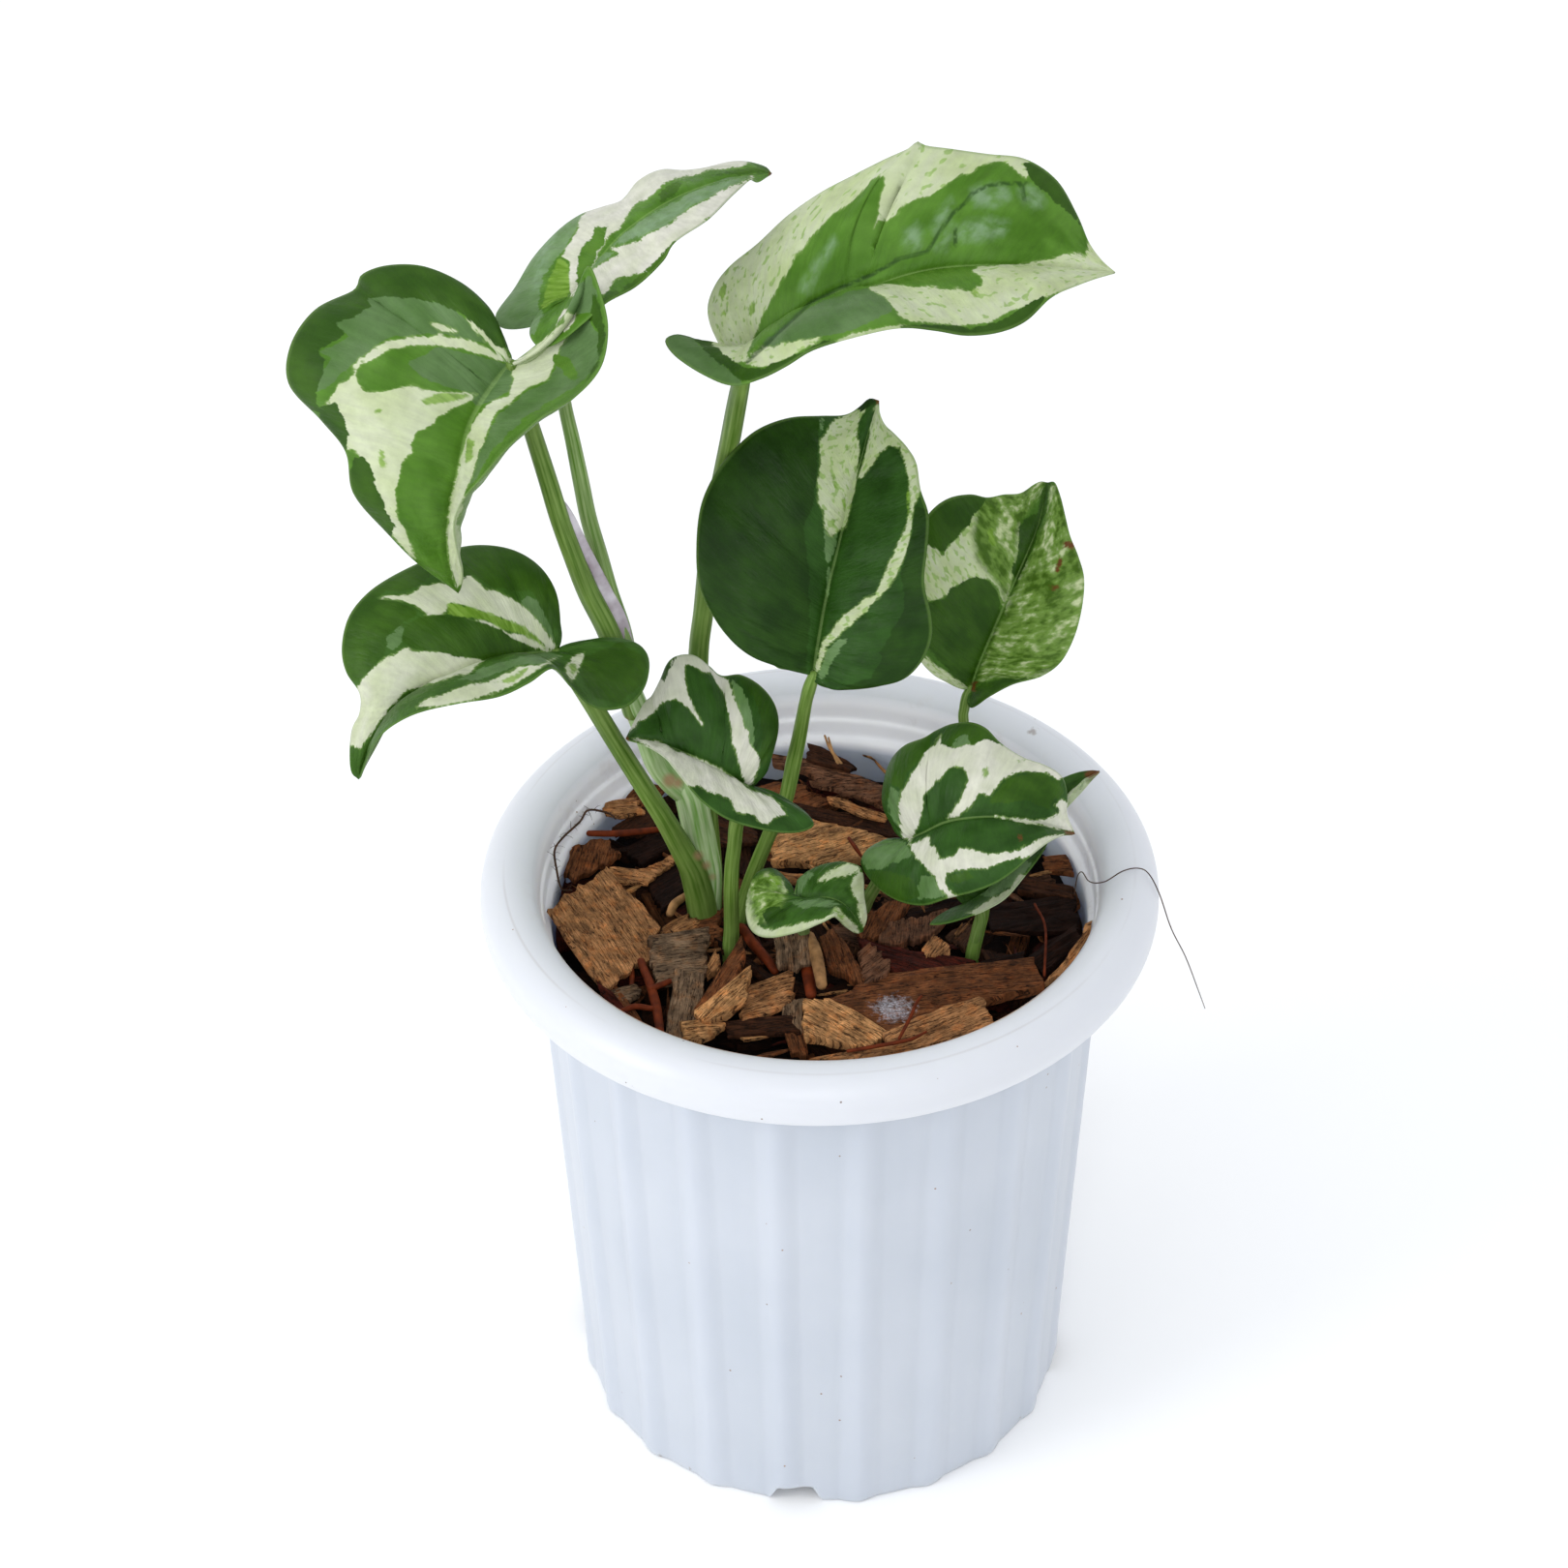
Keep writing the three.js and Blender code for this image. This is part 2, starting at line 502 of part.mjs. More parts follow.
// The large chips that show, [x, y, z], [length, width, thickness] and their turns in degrees
const LARGE_CHIPS = [
  { at: [-45, -12, 128], size: [24, 19, 4], yaw: -35, pitch: 8, bank: 10 },
  { at: [-32, -24, 128.5], size: [14, 12, 4], yaw: 5, pitch: -4, bank: 6 },
  { at: [-16, -36, 127.5], size: [26, 7, 4], yaw: -20, pitch: 6, bank: -8 },
  { at: [4, -47, 127.5], size: [24, 9, 4], yaw: 4, pitch: 0, bank: 10 },
  { at: [27, -32, 128.5], size: [38, 13, 5], yaw: 12, pitch: -2, bank: 6 },
  { at: [46, -8, 127.5], size: [30, 12, 4], yaw: 40, pitch: 4, bank: -6 },
  { at: [38, 22, 128], size: [34, 12, 4], yaw: -20, pitch: 2, bank: 6 },
  { at: [8, 44, 128], size: [30, 13, 4], yaw: -25, pitch: 0, bank: -8 },
  { at: [-14, 30, 127.5], size: [28, 11, 4], yaw: 15, pitch: 5, bank: 5 },
  { at: [-42, 26, 128], size: [24, 12, 4], yaw: 60, pitch: -4, bank: 4 },
];

// A round solid from its half section [radius, z]
function turned(section, sides) {
  const points = section.map(([r, z]) => new THREE.Vector2(r, z));
  return toSolid(new THREE.LatheGeometry(points, sides).rotateX(Math.PI / 2));
}

function buildBark() {
  const inner = RIM_INNER_RADIUS;
  const bottomZ = FLOOR_UNDERSIDE_Z + FLOOR_THICKNESS + GAP;
  const footRadius = WALL_FOOT_RADIUS - WALL_THICKNESS - GAP;
  const topRadius = inner - 1.4 - 2.5 * GAP;
  const lower = [
    [0, FLOOR_THICKNESS + GAP], [FOOT_PAD_RADIUS - 2.1, FLOOR_THICKNESS + GAP],
    [FOOT_PAD_RADIUS - 0.3, bottomZ], [footRadius - 2.4, bottomZ], [footRadius - 0.3, bottomZ + 2.2],
  ];
  const top = [[topRadius, BARK_TOP_Z - 0.6], [topRadius - 3, BARK_TOP_Z], [0, BARK_TOP_Z + 0.5]];
  const core = turned([...lower, ...top], 40);
  const well = turned([...lower, [topRadius, BARK_TOP_Z + 4], [topRadius, POT_HEIGHT], [0, POT_HEIGHT]], 40);
  const draw = makeDraw(CHIP_SEED);
  const chips = LARGE_CHIPS.map((spec) => chip(spec, draw));
  const feet = Object.values(STEMS).map((stalks) => stalks[0].points[0]);
  for (let k = 0; k < CHIP_COUNT; k += 1) {
    const r = 50 * Math.sqrt(draw());
    const a = 2 * Math.PI * draw();
    const size = [10 + 12 * draw(), 4 + 6 * draw(), 3.6 + 1.6 * draw()];
    const at = [r * Math.cos(a), r * Math.sin(a), BARK_TOP_Z + 1.2 + 2 * draw()];
    const spec = { at, size, yaw: 360 * draw(), pitch: 36 * draw() - 18, bank: 30 * draw() - 15 };
    const nearStem = feet.some(([x, y]) => Math.hypot(at[0] - x, at[1] - y) < 8 + size[0] / 3);
    if (!nearStem) chips.push(chip(spec, draw));
  }
  const bore = joinAll(Object.values(STEMS).flat().map((spec) => leafStalk(spec, { grow: GAP })));
  return outerBody(core.add(joinAll(chips).intersect(well)).subtract(bore));
}

const group = new THREE.Group();
group.add(toMesh('pot', buildPot(), COLOURS.pot, 0.4));
group.add(toMesh('bark_mix', buildBark(), COLOURS.bark, 0.95));
const clearances = [];
for (const [name, leaf] of Object.entries(LEAVES)) {
  const colour = name === 'leaf_3' || name === 'leaf_5' ? COLOURS.leafPale : COLOURS.leafDark;
  group.add(toMesh(name, blade(leaf, BLADE_THICKNESS), colour, 0.45));
  clearances.push(blade(leaf, BLADE_THICKNESS + 2 * GAP));
}
for (const [name, stalks] of Object.entries(STEMS)) {
  const whole = joinAll(stalks.map((spec) => leafStalk(spec)));
  const trimmed = outerBody(whole.subtract(joinAll(clearances)).simplify(SLIVER));
  group.add(toMesh(name, trimmed, COLOURS.stalk, 0.5));
}

export default group;
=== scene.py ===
"""A potted pothos: a white ribbed nursery pot full of bark chips, and ten variegated leaves on green stalks."""

import math

import bmesh
import bpy
import numpy as np
from mathutils import Matrix


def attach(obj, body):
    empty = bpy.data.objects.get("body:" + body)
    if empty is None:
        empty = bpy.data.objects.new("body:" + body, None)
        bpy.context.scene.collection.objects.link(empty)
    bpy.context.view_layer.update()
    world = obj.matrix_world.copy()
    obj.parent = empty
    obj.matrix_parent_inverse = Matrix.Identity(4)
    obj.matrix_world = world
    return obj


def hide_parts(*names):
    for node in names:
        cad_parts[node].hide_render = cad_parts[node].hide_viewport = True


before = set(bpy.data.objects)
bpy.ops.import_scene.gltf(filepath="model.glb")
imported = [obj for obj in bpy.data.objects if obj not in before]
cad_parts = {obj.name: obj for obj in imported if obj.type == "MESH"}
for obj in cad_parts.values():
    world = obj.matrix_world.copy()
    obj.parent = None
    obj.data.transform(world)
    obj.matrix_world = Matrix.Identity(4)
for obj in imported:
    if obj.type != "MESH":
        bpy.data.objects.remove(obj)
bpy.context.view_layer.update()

MM = 0.001


# Camera, floor and light
# The camera looks down on the pot from in front. The floor is plain and pale, with broad soft lights.

PHOTO_SIDE = 1620  # pixels along each side of the photograph
PHOTO_FOCUS = 6160  # focal length in those pixels
SENSOR_WIDTH = 36
EYE = np.array([-0.0076, -1.0096, 0.9865])
LOOK_DOWN = math.radians(39.05)
CAMERA_ROLL = math.radians(-0.6)

AHEAD = np.array([0, math.cos(LOOK_DOWN), -math.sin(LOOK_DOWN)])
LEVEL_RIGHT = np.array([1.0, 0, 0])
LEVEL_UP = np.array([0, math.sin(LOOK_DOWN), math.cos(LOOK_DOWN)])
RIGHT = math.cos(CAMERA_ROLL) * LEVEL_RIGHT + math.sin(CAMERA_ROLL) * LEVEL_UP
UP = math.cos(CAMERA_ROLL) * LEVEL_UP - math.sin(CAMERA_ROLL) * LEVEL_RIGHT

camera = bpy.data.objects.new("camera", bpy.data.cameras.new("camera"))
camera.data.sensor_width = SENSOR_WIDTH
camera.data.lens = SENSOR_WIDTH * PHOTO_FOCUS / PHOTO_SIDE
camera.matrix_world = Matrix.LocRotScale(EYE, Matrix(np.array([RIGHT, UP, -AHEAD]).T.tolist()), None)
bpy.context.scene.collection.objects.link(camera)
bpy.context.scene.camera = camera
bpy.context.scene.view_settings.view_transform = "Standard"


def add_light(name, place, target, size, power, colour):
    """A round lamp that faces its target."""
    light = bpy.data.lights.new(name, "AREA")
    light.shape = "DISK"
    light.size = size
    light.energy = power
    light.color = colour
    lamp = bpy.data.objects.new(name, light)
    toward = np.array(target, float) - np.array(place, float)
    away = -toward / np.linalg.norm(toward)
    side = np.cross([0, 0.05, 1], away)
    side /= np.linalg.norm(side)
    turn = Matrix(np.array([side, np.cross(away, side), away]).T.tolist())
    lamp.matrix_world = Matrix.LocRotScale(place, turn, None)
    bpy.context.scene.collection.objects.link(lamp)


add_light("overhead_light", (-0.35, -0.25, 1.4), (0, 0, 0.15), size=0.9, power=0.95, colour=(1, 0.99, 0.97))
add_light("front_light", (-0.01, -1.5, 1.39), (0, 0, 0.15), size=0.5, power=5.5, colour=(0.98, 0.99, 1))
add_light("left_light", (-1.2, -0.6, 0.8), (0, 0, 0.18), size=0.7, power=6.8, colour=(1, 1, 1))

world = bpy.data.worlds.new("studio")
world.use_nodes = True
world.node_tree.nodes["Background"].inputs["Color"].default_value = (0.95, 0.97, 1, 1)
world.node_tree.nodes["Background"].inputs["Strength"].default_value = 1
bpy.context.scene.world = world


def mesh_object(name, points, faces, smooth=True):
    """A mesh object from points in metres and faces, with its place in its mesh."""
    mesh = bpy.data.meshes.new(name)
    mesh.from_pydata(np.asarray(points, float).reshape(-1, 3).tolist(), [], [list(face) for face in faces])
    mesh.polygons.foreach_set("use_smooth", [smooth] * len(mesh.polygons))
    piece = bpy.data.objects.new(name, mesh)
    bpy.context.scene.collection.objects.link(piece)
    return piece


def new_material(name):
    """A node material, the function that adds nodes to it, its Principled shader and its links."""
    material = bpy.data.materials.new(name)
    material.use_nodes = True
    tree = material.node_tree

    def node(kind, settings=None, **inputs):
        """A node of a kind. Inputs are named, with _ for a space, or numbered as i0, i1 and so on."""
        made = tree.nodes.new(kind)
        for key, value in (settings or {}).items():
            setattr(made, key, value)
        for key, value in inputs.items():
            socket = made.inputs[int(key[1:]) if key[0] == "i" and key[1:].isdigit() else key.replace("_", " ")]
            if isinstance(value, bpy.types.NodeSocket):
                tree.links.new(value, socket)
            else:
                socket.default_value = value
        return made

    return material, node, tree.nodes["Principled BSDF"], tree.links


floor_material, _, floor_shader, _ = new_material("pale_floor")
floor_shader.inputs["Base Color"].default_value = (0.97, 0.97, 0.97, 1)
floor_shader.inputs["Roughness"].default_value = 0.9
FLOOR_REACH = 6
floor_corners = [(FLOOR_REACH * x, FLOOR_REACH * y, 0) for x, y in ((-1, -1), (1, -1), (1, 1), (-1, 1))]
floor = mesh_object("floor", floor_corners, [(0, 1, 2, 3)])
floor.data.materials.append(floor_material)


# The pot
# A thin-walled nursery pot moulded in white plastic: a tapered wall with raised flat ribs, a rolled rim, a foot
# ring with small arched notches, and drain holes in its raised floor.

POT_RIBS = 20
RIB_PHASE = math.radians(-82)
RIB_HALF_WIDTH = 4.8
RIB_HEIGHT = 1.2
RIB_TOP = 129
RIB_FADE = 1.5  # over which the ribs die away below their top
NOTCHES = 4
NOTCH_PHASE = math.radians(-97)
NOTCH_HALF_WIDTH = 6.5
NOTCH_SLOPE = 3
NOTCH_HEIGHT = 4.8
FOOT_INSIDE = 50  # the notches cut what is further out
DRAIN_HOLES = 6
DRAIN_RADIUS = 4
DRAIN_CIRCLE = 34
DRAIN_SIDES = 24
COLUMNS_PER_RIB = 30
WALL_ROWS = 40
ROW_CROWDING = 1.6  # above 1, the wall's rows lie closer together near the foot

# Half section in millimetres, [radius, height], from the middle of the underside round to the middle of the inside.
# The wall runs straight between its rows, the rim is one smooth stretch.
UNDERSIDE = [[0, 0], [4, 0], [8, 0], [9.8, 5], [30, 5], [49.5, 5], [50.5, 0], [53.3, 0]]
WALL = [[54, 0.4], [54.2, 1.6], [54.7, 14], [57.5, 60], [61.8, 128.8]]
RIM = [[62.2, 130], [62.8, 134], [64.1, 139.4], [66.6, 141.9], [69.4, 142.3], [71.6, 141], [72.7, 138.4],
       [72.8, 135.8], [73.2, 134.2], [74, 134.1], [74.7, 135.3], [75, 137.4], [74.6, 140.3], [73.1, 142.6],
       [70.9, 144.3], [68.2, 145], [65.4, 144.5], [63.2, 143], [62.1, 140.6], [61.9, 138.4], [61.8, 137.1],
       [61.2, 136.3], [61, 134.8], [60.9, 133.2]]
INSIDE = [[60.6, 132.4], [59.7, 131.7], [59.5, 130.6], [59.2, 126], [58.9, 122], [58.4, 114], [52.5, 9.4],
          [50.3, 7.2], [30, 7.2], [8.2, 7.2], [6.2, 2.2], [3, 2.2], [0, 2.2]]


def through(rows, u):
    """Catmull-Rom: at each u from 0 to 1, a cubic through the rows, with its slope at a row half the difference of
    that row's neighbours."""
    rows = np.asarray(rows, float)
    last = len(rows) - 1
    place = np.clip(u, 0, 1) * last
    i = np.minimum(place.astype(int), last - 1)
    f = (place - i)[..., None]
    padded = np.vstack([2 * rows[0] - rows[1], rows, 2 * rows[-1] - rows[-2]])
    a, b, c, d = padded[i], padded[i + 1], padded[i + 2], padded[i + 3]
    return 0.5 * (2 * b + (c - a) * f + (2 * a - 5 * b + 4 * c - d) * f**2 + (3 * b - a - 3 * c + d) * f**3)


def smoothstep(value):
    """3 v^2 - 2 v^3, which rises smoothly from 0 to 1 as the value does."""
    value = np.clip(value, 0, 1)
    return value * value * (3 - 2 * value)


def round_turn(count):
    """Angles evenly spaced over one full turn."""
    return np.linspace(0, 2 * math.pi, count, endpoint=False)


def ring_faces(rows, columns):
    """Quads of a grid of rows by columns, its last column joined to the first."""
    row, column = np.meshgrid(np.arange(rows - 1), np.arange(columns), indexing="ij")
    here = row * columns + column
    beside = row * columns + (column + 1) % columns
    return np.stack([here, beside, beside + columns, here + columns], -1).reshape(-1, 4)


def join_doubles(piece, reach=1e-6):
    """Merges points that coincide, which closes seams and poles, and points the faces outwards."""
    work = bmesh.new()
    work.from_mesh(piece.data)
    bmesh.ops.remove_doubles(work, verts=work.verts, dist=reach)
    bmesh.ops.dissolve_degenerate(work, edges=work.edges, dist=reach)
    bmesh.ops.recalc_face_normals(work, faces=work.faces)
    work.to_mesh(piece.data)
    work.free()
    piece.data.polygons.foreach_set("use_smooth", [True] * len(piece.data.polygons))


def pot_surface():
    """The half section turned about the axis. The wall's radius grows by the rib height where the angle lies inside
    a rib, rising smoothly to its middle, and the foot is lifted smoothly to a flat top inside each notch."""
    rim = through(RIM, np.linspace(0, 1, 3 * len(RIM)))
    foot, top = WALL[0][1], WALL[-1][1]
    level = foot + (top - foot) * np.linspace(0, 1, WALL_ROWS) ** ROW_CROWDING
    wall = np.column_stack([np.interp(level, *np.array(WALL)[:, ::-1].T), level])
    section = np.vstack([UNDERSIDE, wall, rim, INSIDE])
    ribbed = np.repeat([0, 1, 0], [len(UNDERSIDE), WALL_ROWS, len(rim) + len(INSIDE)])[:, None]
    r, z = section[:, :1], section[:, 1:]
    angle = round_turn(POT_RIBS * COLUMNS_PER_RIB)

    def off_nearest(phase, count):
        """Millimetres round the wall from the nearest of some evenly spaced marks."""
        pitch = 2 * math.pi / count
        return np.abs((angle - phase + pitch / 2) % pitch - pitch / 2) * r

    lift = smoothstep(1 - off_nearest(RIB_PHASE, POT_RIBS) / RIB_HALF_WIDTH) ** 0.8
    radius = r + ribbed * RIB_HEIGHT * lift * smoothstep((RIB_TOP - z) / RIB_FADE)
    inside_notch = smoothstep((NOTCH_HALF_WIDTH - off_nearest(NOTCH_PHASE, NOTCHES)) / NOTCH_SLOPE)
    height = np.maximum(z, NOTCH_HEIGHT * inside_notch * (r > FOOT_INSIDE))
    return np.stack([radius * np.cos(angle), radius * np.sin(angle), height], -1) * MM


pot_points = pot_surface()
pot = mesh_object("white_pot", pot_points, ring_faces(*pot_points.shape[:2]))
join_doubles(pot)

drill_points, drill_faces = [], []
for turn in round_turn(DRAIN_HOLES):
    sweep = round_turn(DRAIN_SIDES)
    centre = DRAIN_CIRCLE * np.array([math.cos(turn), math.sin(turn)])
    circle = centre + DRAIN_RADIUS * np.stack([np.cos(sweep), np.sin(sweep)], -1)
    start = len(drill_points) * DRAIN_SIDES
    for level in (2, 10):
        drill_points.append(np.column_stack([circle, np.full(DRAIN_SIDES, level)]) * MM)
    drill_faces += (ring_faces(2, DRAIN_SIDES) + start).tolist()
    low_end = list(range(start, start + DRAIN_SIDES))
    drill_faces += [low_end[::-1], [corner + DRAIN_SIDES for corner in low_end]]
drill = mesh_object("drain_drill", np.vstack(drill_points), drill_faces, smooth=False)
cut = pot.modifiers.new("drain_holes", "BOOLEAN")
cut.operation = "DIFFERENCE"
cut.object = drill
pot.data = bpy.data.meshes.new_from_object(pot.evaluated_get(bpy.context.evaluated_depsgraph_get()))
pot.modifiers.clear()
bpy.data.objects.remove(drill)

# The helpers from here on add their nodes to the material that was made last.
plastic, node, shader, link = new_material("white_plastic")


def stretched(place, scale):
    """A place with each of its axes multiplied: a pattern on it is finest along the largest."""
    return node("ShaderNodeMapping", Vector=place, Scale=scale).outputs["Vector"]


def noise(place, scale, detail=2, roughness=0.5):
    """Cloudy noise, 0.5 on average, with its scale in lumps a metre."""
    return node("ShaderNodeTexNoise", Vector=place, Scale=scale, Detail=detail, Roughness=roughness).outputs["Fac"]


def combined(operation, first, second=0, third=0):
    """Up to three values under a maths operation."""
    return node("ShaderNodeMath", {"operation": operation}, i0=first, i1=second, i2=third).outputs[0]


def product(*values):
    """The values multiplied together."""
    total = values[0]
    for value in values[1:]:
        total = combined("MULTIPLY", total, value)
    return total


def ramp(value, low, high, bottom=0, top=1):
    """From the bottom at the low value straight to the top at the high value, and level beyond them."""
    return node("ShaderNodeMapRange", Value=value, From_Min=low, From_Max=high, To_Min=bottom, To_Max=top).outputs[0]


def between(value, low, middle, high):
    """1 where a value equals the middle, falling to 0 at the low and the high value."""
    return product(ramp(value, low, middle), ramp(value, high, middle))


def distance(first, second):
    """How far apart two places are."""
    return node("ShaderNodeVectorMath", {"operation": "DISTANCE"}, i0=first, i1=second).outputs["Value"]


def blend(share, first, second, kind="MIX"):
    """The first colour, with a share of the second over it."""
    settings = {"data_type": "RGBA", "blend_type": kind}
    return node("ShaderNodeMix", settings, i0=share, i6=first, i7=second).outputs[2]


def relief(strength, depth, height):
    """Lets light fall as if a height from 0 to 1 raised the surface by a depth in metres."""
    bump = node("ShaderNodeBump", Strength=strength, Distance=depth, Height=height)
    link.new(bump.outputs["Normal"], shader.inputs["Normal"])


place = node("ShaderNodeTexCoord").outputs["Object"]
axes = node("ShaderNodeSeparateXYZ", Vector=place)
flat_place = node("ShaderNodeVectorMath", {"operation": "MULTIPLY"}, i0=place, i1=(1, 1, 0)).outputs[0]
from_axis = node("ShaderNodeVectorMath", {"operation": "LENGTH"}, i0=flat_place).outputs["Value"]
flow = noise(stretched(place, (90, 90, 5)), 1, 3)
cloud = noise(place, 22, 4)

# White all over, with painted light on the rim: a little lighter on the rim and lightest on the rim's inner side
wall_tint = blend(ramp(combined("MULTIPLY_ADD", flow, 0.5, cloud), 0.55, 0.95), (0.49, 0.528, 0.588, 1),
                  (0.54, 0.573, 0.63, 1))
near_rim = ramp(axes.outputs["Z"], 0.129, 0.131)
painted_light_white = blend(near_rim, wall_tint, (0.63, 0.645, 0.675, 1))
painted_light_white = blend(product(ramp(from_axis, 0.0632, 0.0622), near_rim), painted_light_white, (0.84, 0.84, 0.88, 1))

# A faint seam along the top of the rim, brown scuffs inside it, and a soil line where its front meets the bark
seam = product(between(from_axis, 0.0692, 0.0696, 0.07), ramp(cloud, 0.4, 0.62), 0.35)
scuffs = product(ramp(noise(place, 70, 6, 0.7), 0.56, 0.75, 0, 0.5), ramp(from_axis, 0.066, 0.061), near_rim)
in_front = ramp(axes.outputs["Y"], -0.035, -0.05)
soil = product(between(from_axis, 0.063, 0.0637, 0.0643), in_front, near_rim)
used = blend(seam, painted_light_white, (0.4, 0.37, 0.35, 1))
used = blend(scuffs, used, (0.42, 0.33, 0.25, 1))
used = blend(soil, used, (0.52, 0.27, 0.13, 1))

# Specks of dirt: the middles of a few cells, grey to brown
cells = node("ShaderNodeTexVoronoi", Vector=place, Scale=240)
cell_draw = node("ShaderNodeSeparateColor", Color=cells.outputs["Color"])
specks = product(combined("LESS_THAN", cells.outputs["Distance"], 0.06),
                 combined("GREATER_THAN", cell_draw.outputs[0], 0.8))
dirty = blend(specks, used, blend(cell_draw.outputs[1], (0.2, 0.18, 0.17, 1), (0.34, 0.2, 0.12, 1)))

# Larger marks: [pixel across, pixel down, height in mm, radius in mm]
MARKS = [[1109, 1035, 143, 0.9], [1067, 757, 144.5, 1.4], [1061, 1110, 138, 0.9], [917, 1109, 142, 1.2],
         [1127, 895, 144.8, 0.6], [685, 1500, 1, 1.4], [712, 1520, 1, 0.8], [591, 1335, 40, 1.5], [655, 1121, 136, 0.4]]
RAGGED_BY = 0.003  # metres by which noise shifts a mark's outline


def seen(rows, axis):
    """Rows of [pixel across, pixel down, millimetres along an axis] as points in metres. From the eye, a pixel's line
    goes ahead, plus right and up by the pixel's distance from the picture's middle over the focal length, and is
    followed until it reaches the row's millimetres."""
    rows = np.array(rows, float)
    across, down = ((rows[:, k, None] - PHOTO_SIDE / 2) / PHOTO_FOCUS for k in (0, 1))
    line = AHEAD + across * RIGHT - down * UP
    reach = (rows[:, 2] * MM - EYE[axis]) / line[:, axis]
    return EYE + line * reach[:, None]


def seen_at_height(rows):
    """Points from rows of [pixel across, pixel down, height in millimetres]."""
    return seen(rows, 2)


ragged = node("ShaderNodeTexNoise", Vector=place, Scale=900, Detail=2).outputs["Color"]
ragged = node("ShaderNodeVectorMath", {"operation": "MULTIPLY_ADD"}, i0=ragged, i1=[RAGGED_BY] * 3, i2=place).outputs[0]
for centre, mark in zip(seen_at_height(MARKS) + RAGGED_BY / 2, MARKS):
    radius = mark[3] * MM
    spot = ramp(distance(ragged, centre.tolist()), radius, 0.4 * radius, 0, 0.6)
    dirty = blend(spot, dirty, (0.22, 0.17, 0.14, 1))

link.new(dirty, shader.inputs["Base Color"])
link.new(ramp(cloud, 0, 1, 0.3, 0.46), shader.inputs["Roughness"])
relief(strength=0.12, depth=0.0004, height=flow)
shader.inputs["Subsurface Weight"].default_value = 0.7
shader.inputs["Subsurface Scale"].default_value = 0.004
shader.inputs["Subsurface Radius"].default_value = (1, 1, 1.1)
pot.data.materials.append(plastic)
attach(pot, "root")
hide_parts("pot")


# The bark
# Coarse bark and husk chips fill the pot to a little under the rim. Each chip is a thin split slab with torn ends, and
# its ridges and colour run along the grain. The large ones are placed one by one. Small ones and slivers are thrown
# at random, with a fixed seed, to fill the gaps.

INNER_RADIUS = 58.7  # the pot's inside at the bark, kept by every chip
LEDGE_LEVEL = 131.8  # above it the rim begins
LEDGE_WIDTH = 1.8  # how much wider the pot is inside the rim
BED_TOP = 122
BED_DEPTH = 8
TAN = (192, 136, 90)
LIGHT = (208, 152, 100)
BROWN = (128, 80, 50)
DUSKY = (70, 44, 30)
GREYED = (138, 112, 88)
ROSY = (128, 90, 68)
RED = (84, 36, 26)
DARK = (44, 27, 20)

